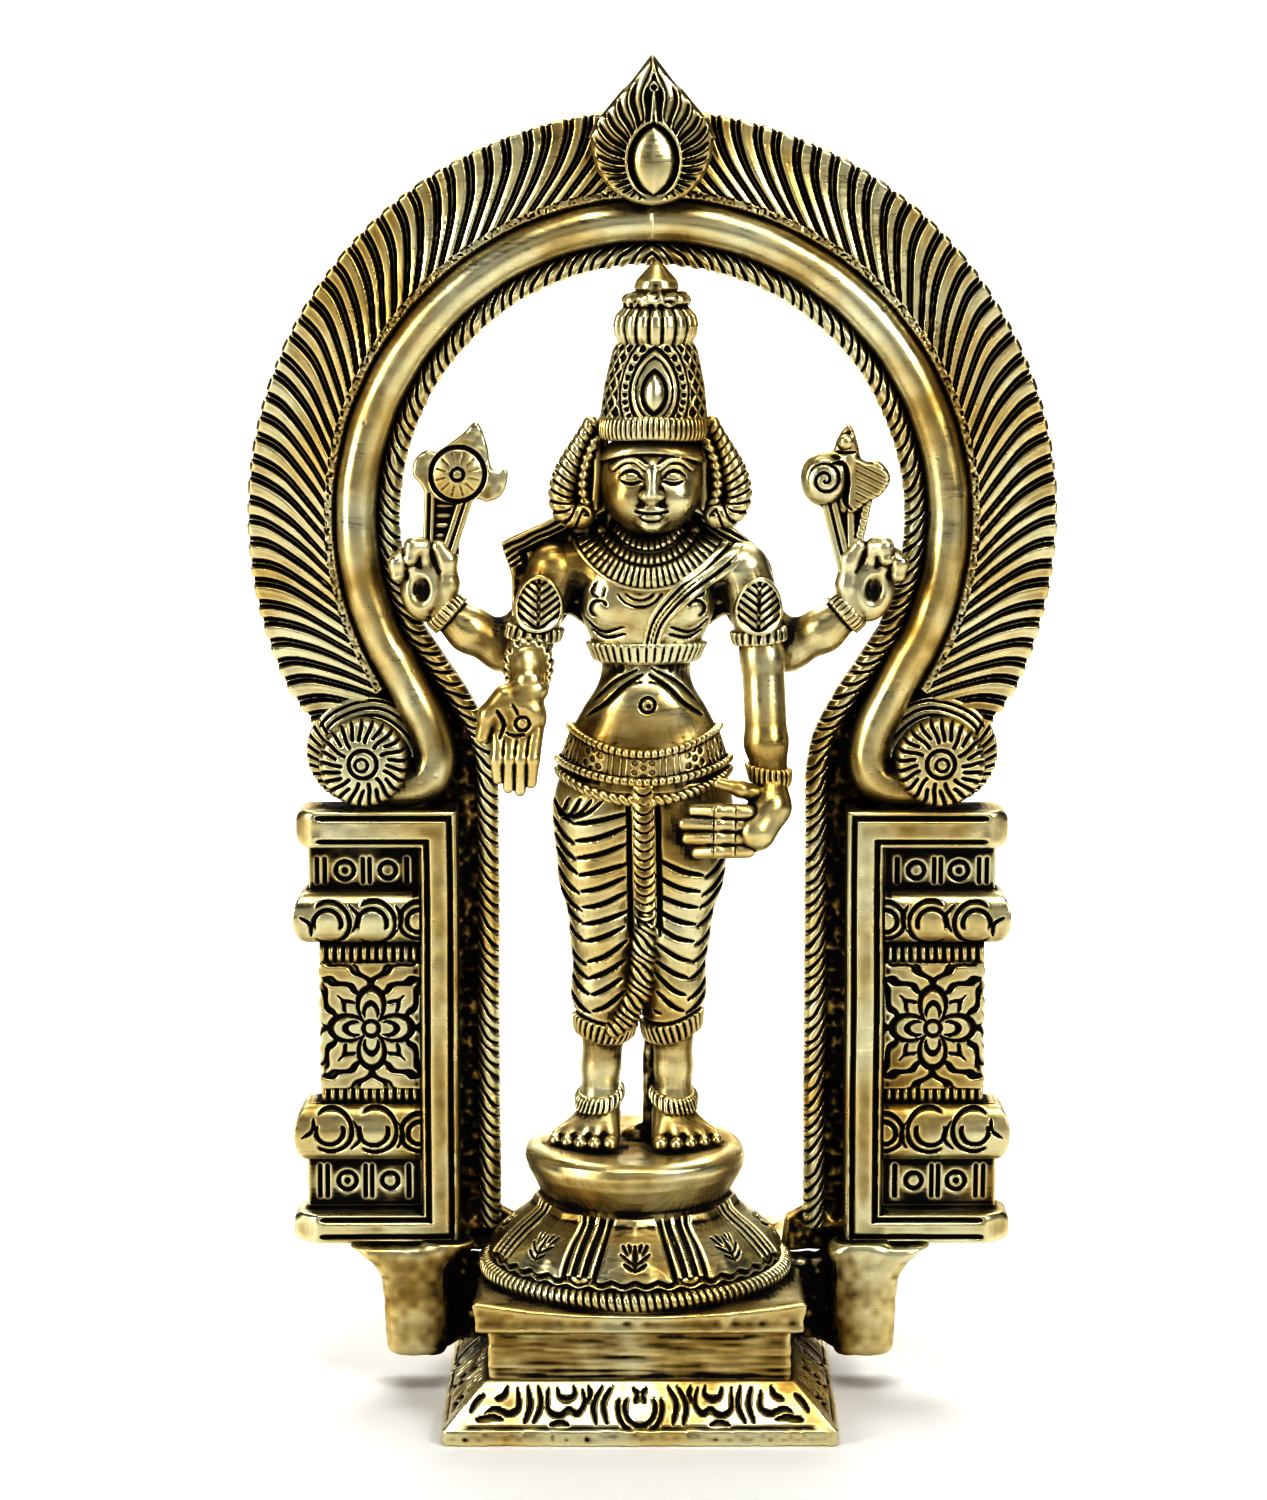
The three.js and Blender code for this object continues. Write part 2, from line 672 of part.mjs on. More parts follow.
// Stacked blocks of the pilaster held by the frame: dentils, cushions, bead rows and a panel.
function pilaster() {
  const inner = FRAME_X[1] + GAP;
  const course = (outer, front, z0, z1) => box([inner, outer], [front, BACK_Y], [z0, z1]);
  const cushion = (z0, z1, outer) => {
    const middle = (z0 + z1) / 2;
    const profile = [[-0.4, z0], [-2.4, z0 + 2.4], [-2.4, middle + 1], [-0.6, z1]];
    const side = profile.map(([front, z]) => [outer + (front + 0.4) * -0.6 - 1.4, z]);
    const silhouette = plate([[inner, z0], ...side, [inner, z1]], -2.4, BACK_Y);
    return silhouette;
  };
  return join(
    course(72, 1.6, 38 + GAP, 48.6),
    cushion(48, 61, 75),
    course(69.8, 1, 60.5, 66),
    course(70, 0.2, 65, 91.5),
    course(69.8, 1, 91, 96.4),
    cushion(96, 106, 75),
    course(71.8, 1.6, 105.4, 115.8 - GAP),
  );
}

// The boss on the plinth's side that takes the arch's peg, and the web that carries it.
// pegShift moves the peg's pocket from the arch's frame to the plinth's.
function archBoss(pegShift) {
  const outline = [
    [42.6, 3],
    [52.6, 3],
    [54, 4.6],
    [54.2, 22],
    [56, 27],
    [60.6, 30.4],
    [60.6, LEG_BOTTOM_Z],
    [42.6, LEG_BOTTOM_Z],
  ];
  const block = plate(outline, -6, 9.6);
  const web = box([NECK_HALF + GAP, 43], [0.6, 8.6], [FOOT_TOP_Z + 1, 27]);
  const pocket = box(
    PEG.x.map((x, i) => x + pegShift + (i ? GAP : -GAP)),
    PEG.y.map((y, i) => y + (i ? GAP : -GAP)),
    [PEG.z[0] - GAP, LEG_BOTTOM_Z + 1],
  );
  return largest(cut(join(block, web), pocket, slabShape(GAP), ropeRim(GAP), domeShape(GAP)));
}

// ---- assembly ----
const BRASS = { color: 0xb08d45, metalness: 1, roughness: 0.32 };
const SHADED_BRASS = { color: 0x6f5526, metalness: 1, roughness: 0.45 };
const STEEL = { color: 0x9a9a96, metalness: 1, roughness: 0.4 };

function meshOf(name, solid, finish = BRASS) {
  const { numProp, vertProperties, triVerts } = solid.getMesh();
  const count = vertProperties.length / numProp;
  const position = new Float32Array(count * 3);
  for (let i = 0; i < count; i += 1) {
    position.set(vertProperties.subarray(i * numProp, i * numProp + 3), i * 3);
  }
  const geometry = new THREE.BufferGeometry();
  geometry.setAttribute("position", new THREE.BufferAttribute(position, 3));
  geometry.setIndex(new THREE.BufferAttribute(triVerts, 1));
  const mesh = new THREE.Mesh(geometry, new THREE.MeshStandardMaterial(finish));
  mesh.name = name;
  return mesh;
}

function groupOf(name, ...meshes) {
  const group = new THREE.Group();
  group.name = name;
  group.add(...meshes);
  return group;
}

function groupAt(x, group) {
  group.position.x = x;
  return group;
}

// The same solid on both sides of the statue.
function pairOf(name, solid, finish) {
  return [
    meshOf(`${name}_left`, solid, finish),
    meshOf(`${name}_right`, mirrored(solid), finish),
  ];
}

const plinth = groupOf(
  "plinth",
  meshOf("plinth_foot", plinthFoot()),
  meshOf("plinth_neck", plinthNeck()),
  meshOf("plinth_slab", plinthSlab()),
  meshOf("arch_boss_left", archBoss(-PLINTH_X)),
  meshOf("arch_boss_right", mirrored(archBoss(PLINTH_X))),
  meshOf("fixing_stud", fixingStud(), STEEL),
  meshOf("fixing_washer", fixingWasher(), STEEL),
  meshOf("fixing_nut", fixingNut(), STEEL),
);

const lotusSeat = groupOf(
  "lotus_seat",
  meshOf("lotus_dome", lotusDome()),
  meshOf("rope_rim", ropeRim()),
  meshOf("foot_drum", footDrum()),
);

const figure = groupOf(
  "figure",
  ...pairOf("foot", foot(1)),
  ...pairOf("anklet", anklet(1)),
  meshOf("dhoti", dhoti()),
  meshOf("dhoti_pleat", dhotiPleat()),
  meshOf("torso", torso()),
  meshOf("waist_belt", bodyBand(torso, 2, HIP_Z, 138.6)),
  meshOf("chest_band", bodyBand(torso, 1.6, 154, 159)),
  meshOf("sash", sash()),
  meshOf("necklace", necklace()),
  meshOf("head", head()),
  meshOf("crown_band", crownBand()),
  meshOf("crown_cone", crownCone()),
  meshOf("crown_bulb", crownBulb()),
  meshOf("crown_bud", crownBud()),
  ...pairOf("ear_pendant", earPendant(1)),
  meshOf("left_arm", leftArm()),
  meshOf("left_hand", leftHand()),
  meshOf("left_armlet", leftArmlet()),
  meshOf("left_bracelet", leftBracelet()),
  meshOf("right_arm", rightArm()),
  meshOf("right_hand", rightHand()),
  meshOf("right_armlet", rightArmlet()),
  meshOf("right_bracelet", rightBracelet()),
  meshOf("rear_left_arm", rearArm(1)),
  meshOf("rear_left_hand", rearHand(1)),
  meshOf("conch", conch()),
  meshOf("rear_right_arm", rearArm(-1)),
  meshOf("rear_right_hand", rearHand(-1)),
  meshOf("discus", discus()),
);

const arch = groupOf(
  "arch",
  meshOf("finial_leaf", leafShape()),
  ...pairOf("feather_band", featherBand()),
  ...pairOf("roll_moulding", rollMoulding()),
  ...pairOf("rope_moulding", ropeMoulding()),
  ...pairOf("back_web", backWeb(), SHADED_BRASS),
  ...pairOf("rosette", rosetteShape()),
  ...pairOf("leg_frame", legFrame()),
  ...pairOf("pilaster", pilaster()),
);

const statue = new THREE.Group();
statue.add(
  groupAt(PLINTH_X, plinth),
  groupAt(PLINTH_X, lotusSeat),
  groupAt(FIGURE_X, figure),
  arch,
);

export default statue;
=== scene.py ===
import math

import bpy
import numpy as np
import openvdb as vdb
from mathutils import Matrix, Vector


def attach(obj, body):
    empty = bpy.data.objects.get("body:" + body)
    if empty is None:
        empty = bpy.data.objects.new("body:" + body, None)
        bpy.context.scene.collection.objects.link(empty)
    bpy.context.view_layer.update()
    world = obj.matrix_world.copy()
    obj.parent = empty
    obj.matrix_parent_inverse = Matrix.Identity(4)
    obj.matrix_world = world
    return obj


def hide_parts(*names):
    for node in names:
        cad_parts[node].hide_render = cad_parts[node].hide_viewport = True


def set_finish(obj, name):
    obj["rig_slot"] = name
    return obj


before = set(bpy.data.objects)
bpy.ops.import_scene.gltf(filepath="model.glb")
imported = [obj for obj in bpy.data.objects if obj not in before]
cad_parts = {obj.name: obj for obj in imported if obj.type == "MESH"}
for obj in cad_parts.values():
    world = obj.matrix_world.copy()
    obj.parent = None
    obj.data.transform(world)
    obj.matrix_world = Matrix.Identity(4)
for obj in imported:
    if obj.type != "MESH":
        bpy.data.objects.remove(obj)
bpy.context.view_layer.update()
scene = bpy.context.scene

COARSE = 1.0
STEP = 0.3 * COARSE  # sampling distance of most pieces
BROAD = 0.38 * COARSE  # for plain pieces with large flat or round faces
FINE = 0.24 * COARSE  # for pieces with small ornament

ARCH_Z = 184.2  # centre of the arch's arcs
BACK_Y = 11.0  # the arch's flat back
HOLLOW = 26.0  # half the width of the hollow in the plinth
BRAZE_SHIFT = 3.2  # the braze fillets follow the arch's feet, not the plinth's middle
PLINTH_X, SEAT_X = -2.5, -3.5  # the plinth and its seat stand this far off the arch's middle
LEAN_FOOT_Z, LEAN_FOOT_X, LEAN_RISE = 55.0, -3.4, 0.0219  # the figure leans to the right


# ---- shapes: each takes coordinate arrays and gives a distance field ----
def smin(a, b, k):
    h = np.maximum(k - np.abs(a - b), 0) / k
    return np.minimum(a, b) - h * h * k / 4


def smax(a, b, k):
    return -smin(-a, -b, k)


def ramp(low, high, value):
    t = np.clip((value - low) / (high - low), 0, 1)
    return t * t * (3 - 2 * t)


def ellipsoid(x, y, z, centre, radii):
    cx, cy, cz = centre
    rx, ry, rz = radii
    near = np.sqrt(((x - cx) / rx) ** 2 + ((y - cy) / ry) ** 2 + ((z - cz) / rz) ** 2)
    steep = np.sqrt(
        ((x - cx) / rx**2) ** 2 + ((y - cy) / ry**2) ** 2 + ((z - cz) / rz**2) ** 2
    )
    return near * (near - 1) / np.maximum(steep, 1e-6)


def capsule(x, y, z, a, b, ra, rb):
    a, b = np.array(a, float), np.array(b, float)
    along = b - a
    t = ((x - a[0]) * along[0] + (y - a[1]) * along[1] + (z - a[2]) * along[2]) / (along @ along)
    t = np.clip(t, 0, 1)
    gap = (
        (x - a[0] - t * along[0]) ** 2
        + (y - a[1] - t * along[1]) ** 2
        + (z - a[2] - t * along[2]) ** 2
    )
    return np.sqrt(gap) - (ra + (rb - ra) * t)


def chain(x, y, z, knots, k=0.8):
    """Tapered capsules through [x, y, z, radius] knots."""
    out = None
    for (*a, ra), (*b, rb) in zip(knots, knots[1:]):
        d = capsule(x, y, z, a, b, ra, rb)
        out = d if out is None else smin(out, d, k)
    return out


def slab(value, low, high):
    return np.maximum(low - value, value - high)


def hill(distance, width):
    """1 at no distance, falling to 0 at the width."""
    return np.clip(1 - (distance / width) ** 2, 0, 1)


def bulge(distance, width):
    """The same with a round top."""
    return np.sqrt(hill(distance, width))


def zigzag(value):
    """0 at each whole number and 1 midway between."""
    return 1 - 2 * np.abs(value % 1 - 0.5)


def lookup(value, places, results):
    return np.interp(value.ravel(), places, results).reshape(value.shape)


# ---- lines drawn on a plane ----
def spline(points, per=8):
    """A smooth line through the points."""
    p = np.array(points, float)
    padded = np.vstack([2 * p[0] - p[1], p, 2 * p[-1] - p[-2]])
    t = np.linspace(0, 1, per, endpoint=False)[:, None]
    out = []
    for a, b, c, d in zip(padded, padded[1:], padded[2:], padded[3:]):
        cubic = (-a + 3 * b - 3 * c + d) * t**3 + (2 * a - 5 * b + 4 * c - d) * t**2
        out.append(0.5 * (cubic + (c - a) * t + 2 * b))
    return np.vstack(out + [p[-1:]])


def near_line(u, v, points):
    """Distance to a line, the length along it there, and the side, +1 or -1."""
    best = along = side = None
    start = 0.0
    for a, b in zip(points, points[1:]):
        step = b - a
        length = math.hypot(*step)
        t = np.clip(((u - a[0]) * step[0] + (v - a[1]) * step[1]) / length**2, 0, 1)
        du, dv = u - a[0] - t * step[0], v - a[1] - t * step[1]
        d = np.hypot(du, dv)
        turn = np.sign(step[0] * dv - step[1] * du)
        if best is None:
            best, along, side = d, start + t * length, turn
        else:
            nearer = d < best
            best = np.where(nearer, d, best)
            along = np.where(nearer, start + t * length, along)
            side = np.where(nearer, turn, side)
        start += length
    return best, along, side, start


def groove(u, v, points, width, depth, taper=True, per=6):
    """Depth of a cut along a smooth line, thinning out at both ends."""
    d, along, _, length = near_line(u, v, spline(points, per))
    share = np.clip(along / length, 0, 1)
    wide = width * (np.sqrt(np.clip(4 * share * (1 - share), 0.02, 1)) if taper else 1)
    return depth * hill(d, wide)


def grooves(u, v, width, depth, lines, start=0.0):
    """Cuts of one width and depth along several lines, added to a start."""
    for points in lines:
        start = start + groove(u, v, points, width, depth)
    return start


def outline(u, v, points):
    """Signed distance to a closed smooth line given anticlockwise, negative inside."""
    d, _, side, _ = near_line(u, v, spline([*points, points[0]]))
    return -d * side


def ring_groove(u, v, centre, radius, width, depth):
    d = np.abs(np.hypot(u - centre[0], v - centre[1]) - radius)
    return depth * hill(d, width)


def dimple(u, v, centre, radius, depth):
    d = np.hypot(u - centre[0], v - centre[1])
    return depth * hill(d, radius)


def rough(u, v, w=0.0, size=1.0, seed=0.0):
    """Irregular bumps from -1 to 1, about `size` across: smooth noise on a lattice."""

    def lattice(*cell):
        mixed = sum(c * k for c, k in zip(cell, (12.9898, 78.233, 37.719))) + seed * 9.17
        return (np.sin(mixed) * 43758.5453) % 1

    axes = [np.asarray(c / size * 0.8 + seed * 3.1, dtype=np.float64) for c in (u, v, w)]
    floors = [np.floor(a) for a in axes]
    shares = [(a - f) ** 2 * (3 - 2 * (a - f)) for a, f in zip(axes, floors)]
    flat = np.ndim(w) == 0
    total = 0.0
    for i in (0, 1):
        for j in (0, 1):
            for k in (0,) if flat else (0, 1):
                weight = abs(1 - i - shares[0]) * abs(1 - j - shares[1])
                if not flat:
                    weight = weight * abs(1 - k - shares[2])
                total = total + weight * lattice(floors[0] + i, floors[1] + j, floors[2] + k)
    return (2 * total - 1) * 1.3


# ---- clay to mesh ----
class Clay:
    """A box of space with a distance field in it."""

    def __init__(self, low, high, step=STEP):
        self.low, self.step = np.array(low, float), step
        axes = [np.arange(a, b + step, step, dtype=np.float32) for a, b in zip(low, high)]
        self.x, self.y, self.z = np.meshgrid(*axes, indexing="ij", sparse=True)
        self.shape = tuple(len(a) for a in axes)
        self.f = None

    def add(self, field, k=0.5):
        self.f = field if self.f is None else smin(self.f, field, k)

    def cut(self, field, k=0.3):
        self.f = smax(self.f, -field, k)

    def keep(self, field, k=0.3):
        self.f = smax(self.f, field, k)

    def dig(self, depth):
        self.f = self.f + depth

    def mesh(self):
        field = np.array(np.broadcast_to(self.f, self.shape), dtype=np.float32)
        for axis in range(3):
            edge = np.moveaxis(field, axis, 0)
            edge[0] = np.maximum(edge[0], self.step)
            edge[-1] = np.maximum(edge[-1], self.step)
        grid = vdb.FloatGrid(background=9.0)
        grid.copyFromArray(field)
        points, quads = grid.convertToQuads(0.0)
        return points.astype(float) * self.step + self.low, quads.astype(np.int64)


def new_clay(low, high, step=STEP):
    clay = Clay(low, high, step)
    return clay, clay.x, clay.y, clay.z


def relaxed(points, quads, rounds):
    """The points after rounds of moving halfway to their neighbours' middle."""
    a, b = quads.ravel(), np.roll(quads, -1, axis=1).ravel()
    count = np.maximum(np.bincount(a, minlength=len(points)), 1)
    for _ in range(rounds):
        middle = [np.bincount(a, p[b], minlength=len(points)) / count for p in points.T]
        points = (points + np.array(middle).T) / 2
    return points


def normals_of(points, quads):
    p = points[quads]
    face = np.cross(p[:, 2] - p[:, 0], p[:, 3] - p[:, 1])
    out = [
        sum(np.bincount(quads[:, i], face[:, k], minlength=len(points)) for i in range(4))
        for k in range(3)
    ]
    out = np.array(out).T
    return out / np.maximum(np.linalg.norm(out, axis=1, keepdims=True), 1e-9)


CASTS = []
WOBBLE = 0.12  # how far hand work strays from the true shape


def lean(points):
    out = points.copy()
    out[:, 0] += LEAN_FOOT_X + LEAN_RISE * (points[:, 2] - LEAN_FOOT_Z)
    return out


def on_plinth(points):
    return points + [PLINTH_X, 0, 0]


def on_seat(points):
    return points + [SEAT_X, 0, 0]


def cast(name, clay, nodes, place=None, mirror=False, tone="brass", soot=0.0):
    """Makes one piece from its clay, standing for the CAD nodes named."""
    points, quads = clay.mesh()
    if mirror:
        points = points * [-1, 1, 1]
        quads = quads[:, ::-1]
    if place:
        points = place(points)
    x, y, z = points.T
    wobble = [rough(z, x, y, 17, seed) * WOBBLE for seed in (1.0, 2.0, 3.0)]
    points = points + np.array(wobble).T * [1, 1, 0.3]
    normals = normals_of(points, quads)
    if np.sum(normals * (points - points.mean(0))) < 0:
        quads, normals = quads[:, ::-1], -normals
    fine = relaxed(points, quads, 3)
    broad = relaxed(fine, quads, 14)
    scale = 0.3 / clay.step
    recess = np.sum((fine - points) * normals, 1) * 9 * scale
    recess += np.sum((broad - points) * normals, 1) * 5 * scale
    # The piece's extra darkening, a number or a function of the points, is painted shade added to its shade
    # attribute.
    if callable(soot):
        soot = soot(points)
    mesh = bpy.data.meshes.new(name)
    mesh.vertices.add(len(points))
    mesh.vertices.foreach_set("co", (points * 0.001).ravel())
    mesh.loops.add(quads.size)
    mesh.loops.foreach_set("vertex_index", quads.ravel())
    mesh.polygons.add(len(quads))
    mesh.polygons.foreach_set("loop_start", np.arange(0, quads.size, 4))
    mesh.update(calc_edges=True)
    mesh.shade_smooth()
    mesh.attributes.new("recess", "FLOAT", "POINT").data.foreach_set("value", recess)
    piece = bpy.data.objects.new(name, mesh)
    scene.collection.objects.link(piece)
    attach(piece, "root")
    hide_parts(*nodes)
    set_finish(piece, tone)
    CASTS.append((piece, points, normals, clay.step, soot))


def cast_one(make, **how):
    """Casts the piece whose CAD node has the name of the function that makes its clay."""
    cast(make.__name__ + "_visual", make(), [make.__name__], **how)


def cast_pair(make, **how):
    for side in ("left", "right"):
        name = f"{make.__name__}_visual_{side}"
        cast(name, make(), [f"{make.__name__}_{side}"], mirror=side == "right", **how)


# ---- arch; each half is drawn on the +X side ----
def arc(radius, first, last, count):
    """Points of an arc about the arch's centre; angles in degrees from the top."""
    angles = np.radians(np.linspace(first, last, count))
    return np.stack([radius * np.sin(angles), ARCH_Z + radius * np.cos(angles)], 1)


ROLL_LINE = np.vstack(
    [
        arc(61.1, -2, 116, 40),
        spline(
            [(53.4, 155), (49.4, 146.8), (46.2, 139.6), (45.4, 133.6)]
            + [(47.4, 129.8), (51.8, 128.6), (56, 129.4)]
        ),
    ]
)
ROPE_LINE = np.vstack(
    [
        arc(54.4, -2, 112, 40),
        spline([(49.0, 160.1), (43.9, 152.4), (39.1, 145.0), (35.7, 138.0), (34.3, 131)]),
        [(34.3, 120.0), (34.3, 33.2)],
    ]
)
ROSETTE = (59.8, 134.0)
LEAF_EYE = (0.3, 257.4)


def feather_band():
    clay, x, y, z = new_clay((5, 0, 122), (86, 12.2, 270), FINE)
    r = np.hypot(x, z - ARCH_Z)
    angle = np.degrees(np.arctan2(x, z - ARCH_Z))
    inner, barb_foot, barb_length = 65.2, 67.6, 16.1
    t = np.clip((r - barb_foot) / barb_length, 0, 1)
    barb = (angle + 9.5 * (1 - (1 - t) ** 2)) / 3.0
    barb = barb + 0.06 * np.sin(barb.round() * 3.7) + 0.02 * np.sin(r * 0.7 + barb.round())
    p = barb % 1
    hand = 0.5 + 0.5 * np.sin(np.floor(barb) * 5.1)
    ridge = ramp(0.3, 0.44, p) * ramp(1.0, 0.92, p) * (2.3 - 0.9 * p + 0.2 * hand)
    ridge = ridge + (0.7 + 0.4 * hand) * hill(p - 0.17, 0.08)
    ridge = ridge * ramp(-0.4, 1.0, 83.9 - r)
    strip = 1.5 + 0.16 * rough(x, z, 0, 0.42)
    relief = np.where(r < barb_foot, strip * ramp(inner, 66.2, r), ridge)
    front = 3.6 - relief
    rim = 83.3 + 0.4 * ramp(0.2, 0.45, p) * ramp(1.0, 0.85, p) - 1.4 * ramp(113, 123.5, angle)
    clay.add(front - y)
    clay.keep(y - BACK_Y, 0.8)
    clay.keep(r - rim, 1.2)
    clay.keep(inner - r)
    clay.keep((angle - 122.5) * 1.3, 0.8)
    fan = np.hypot(x - ROSETTE[0], z - ROSETTE[1])
    clay.cut(fan - 12.4)
    return clay


def tail_leaf():
    """The leaf of long bent barbs wrapped over and down the outside of the rosette."""
    clay, x, y, z = new_clay((44, 0, 122), (76.5, 12.2, 150), FINE)
    far = np.hypot(x - ROSETTE[0], z - ROSETTE[1])
    turn = np.degrees(np.arctan2(x - ROSETTE[0], z - ROSETTE[1]))
    p = ((far - 9.2) / 1.55 + 0.012 * turn + 0.1 * np.sin(turn * 0.1)) % 1
    stripes = ramp(0.1, 0.35, p) * ramp(1.0, 0.88, p) * (1.5 - 0.5 * p)
    barb = (turn / 9.0 + 0.26 * (far - 9.2)) % 1
    barbs = 1.5 * ramp(0.06, 0.3, barb) * ramp(1.0, 0.8, barb)
    lower = ramp(44, 56, turn)
    stripes = stripes * (1 - lower) + barbs * lower
    turns = [-90, -40, 20, 50, 70, 90, 110, 150]
    outer = lookup(turn, turns, [12.9, 13.2, 13.8, 13.0, 12.6, 12.0, 11.2, 9.8])
    clay.add(3.2 - stripes - y)
    clay.keep(far - outer, 0.8)
    clay.keep(slab(turn, -88, 150) * 0.15, 0.6)
    web = np.maximum(np.maximum(far - 16.5, 136 - z), np.maximum(x - 61, 8.6 - y))
    clay.add(web, 0.2)
    clay.keep(y - BACK_Y + 0.3, 0.6)
    return clay


def roll_moulding():
    clay, x, y, z = new_clay((-1, -1.4, 120), (67, 12.2, 251), BROAD)
    d, along, _, _ = near_line(x, z, ROLL_LINE)
    bow = 4.15 + 0.45 * ramp(128, 168, along) + 0.06 * np.sin(along * 0.5)
    clay.add(np.hypot(d, y - 3.2) - bow)
    clay.add(np.maximum(d - bow, slab(y, 3.2, BACK_Y - 0.15)), 0.1)
    clay.keep(-x - 0.2, 0.05)
    return clay


def rope_moulding():
    clay, x, y, z = new_clay((-1, 2.2, 32), (58, 12.2, 243), FINE)
    d, along, side, _ = near_line(x, z, ROPE_LINE)
    lateral = d * side
    phase = along / 2.65 + lateral * 0.4 + 0.05 * lateral**2
    phase = phase + 0.16 * np.sin(along * 0.37) + 0.08 * np.sin(along * 1.3)
    strand = zigzag(phase)
    swell = ramp(0.0, 0.45, strand)
    clay.add(np.hypot(d, (y - 5.6) * 0.75) - 1.25 - swell * 1.1)
    clay.add(np.maximum(d - 2.0, slab(y, 6.6, BACK_Y - 0.2)), 0.3)
    clay.keep(-x - 0.2, 0.05)
    clay.keep(33.2 - z)
    return clay


def rope_soot(points):
    """Painted shadow: the rope is blackest where it lies in the roll's shadow at the top, with a little painted
    shade all along.
    """
    return 0.12 + 0.6 * ramp(30, 6, np.abs(points[:, 0])) * ramp(215, 228, points[:, 2])


def back_web():
    clay, x, y, z = new_clay((-1, 2, 26), (67, 12.2, 252), BROAD)
    r = np.hypot(x, z - ARCH_Z)
    ring = np.maximum(slab(r, 53.8, 66.4), 160 - z)
    heights = [27, 34.5, 37.5, 124, 131, 138.2, 145.2, 152.6, 160.4, 165]
    rope = [27.5, 28.5, 34.2, 34.2, 34.2, 35.6, 39.0, 43.8, 49.0, 50.6]
    roll = [46.0, 47.6, 47.6, 47.6, 45.4, 46.2, 48.8, 52.4, 56.4, 58.0]
    rope_x = lookup(z, heights, rope)
    roll_x = lookup(z, heights, roll)
    flank = np.maximum(np.maximum(rope_x - x, x - roll_x), z - 164)
    lumps = 0.5 * rough(x, z, 0, 3.4) + 0.3 * rough(x, z, 0, 1.5, 2.0) + 0.1 * rough(x, z, 0, 0.7, 1.0)
    clay.add(8.2 - 2.6 * ramp(38, 33, z) + lumps - y)
    clay.keep(y - BACK_Y + 0.45)
    clay.keep(np.minimum(ring, flank))
    clay.keep(-x - 0.2, 0.05)
    clay.keep(27.6 - z, 1.0)
    return clay


def rosette():
    clay, x, y, z = new_clay((48, -5, 122), (71, 12.2, 146), FINE)
    u, v = x - ROSETTE[0], z - ROSETTE[1]
    r = np.hypot(u, v)
    turn = np.degrees(np.arctan2(u, v))
    dome = 2.6 + 1.1 * bulge(r, 9.4)
    spoke = turn / 14.4 + 0.1 * np.sin(r) + 0.35 * ramp(4, 9, r)
    start = 3.6 + 1.8 * (0.5 + 0.5 * np.sin(np.floor(spoke) * 2.7))
    lines = np.clip(1 - (np.abs(spoke % 1 - 0.5) * r * 0.25 / 0.45) ** 2, 0, 1) * ramp(start, start + 0.8, r)
    relief = dome - lines - ring_groove(u, v, (0, 0), 2.9, 0.5, 0.9)
    relief = relief - ring_groove(u, v, (0.3, -0.2), 1.3, 0.4, 0.7)
    clay.add(-relief - y)
    clay.keep(y - BACK_Y + 0.1)
    clay.keep(r - 9.3, 2.2)
    return clay


def finial_leaf():
    clay, x, y, z = new_clay((-14, -6.4, 246), (14, 12.2, 280.4), FINE)
    bowl = np.hypot(x, z - 260.8) - 12.3
    peak = np.maximum((np.abs(x) - (278.9 - z) * 0.765) * 0.8, 262 - z)
    plan = smin(bowl, peak, 1.2)
    plan = np.where(z > 266, np.maximum(plan, (np.abs(x) - (279.0 - z) * 0.83) * 0.78), plan)
    u, v = x - LEAF_EYE[0], z - LEAF_EYE[1]
    r = np.hypot(u, v)
    fan = np.arctan2(np.abs(u), v + 1.0)
    p = (fan / math.pi * 14.5 + 0.09 * (r - 6) + 0.12 * np.sin(r * 0.8 + fan * 3)) % 1
    ridge = 0.9 * hill(p - 0.2, 0.16) + 0.45 * ramp(0.1, 0.3, p) * ramp(0.95, 0.5, p)
    almond = np.hypot(np.abs(u) + 4.2, v * 1.04) - 8.2
    socket = np.hypot(np.abs(u) + 1.6, v * 0.86) - 7.0
    rays = ridge * ramp(0.3, 0.9, socket) * ramp(0.3, 1.4, -plan) * ramp(-10.2, -8.4, v)
    well = 1.6 * ramp(0.1, 0.6, almond) * ramp(0.1, 0.6, -socket) * ramp(-6.9, -5.7, v)
    boss = 1.5 * np.sqrt(np.clip(-almond / 4.0, 0, 1))
    rim = 0.7 * hill(np.abs(socket - 0.1), 0.6) * ramp(-6.6, -5, v)
    flame = 0.7 * hill(np.abs(np.abs(u) - 0.08 * (14.4 - v)), 0.45) * ramp(6.6, 7.4, v) * ramp(14.4, 13.4, v)
    bead = dimple(u, z, (0, 272.4), 1.7, 1.1) - dimple(u, z, (0, 272.0), 0.7, 1.4)
    lap = 0.5 * ramp(-8.6, -9.8, v)
    relief = 3.2 + rays + boss + rim + bead + flame + lap - well - 0.5 * ramp(0.6, 0.1, -plan)
    relief = relief + 0.5 * ramp(12, 0, r)
    clay.add(-relief - y)
    clay.keep(y - BACK_Y - 0.3, 0.4)
    clay.keep(plan, 0.9)
    return clay


def bull_nose(x, z, low, high, end, radius):
    """A bar along x between two heights, with the corners of its outer end rounded."""
    u = x - (end - radius)
    v = np.abs(z - (low + high) / 2) - ((high - low) / 2 - radius)
    nose = np.hypot(np.maximum(u, 0), np.maximum(v, 0)) + np.minimum(np.maximum(u, v), 0) - radius
    return np.maximum(40.6 - x, nose)


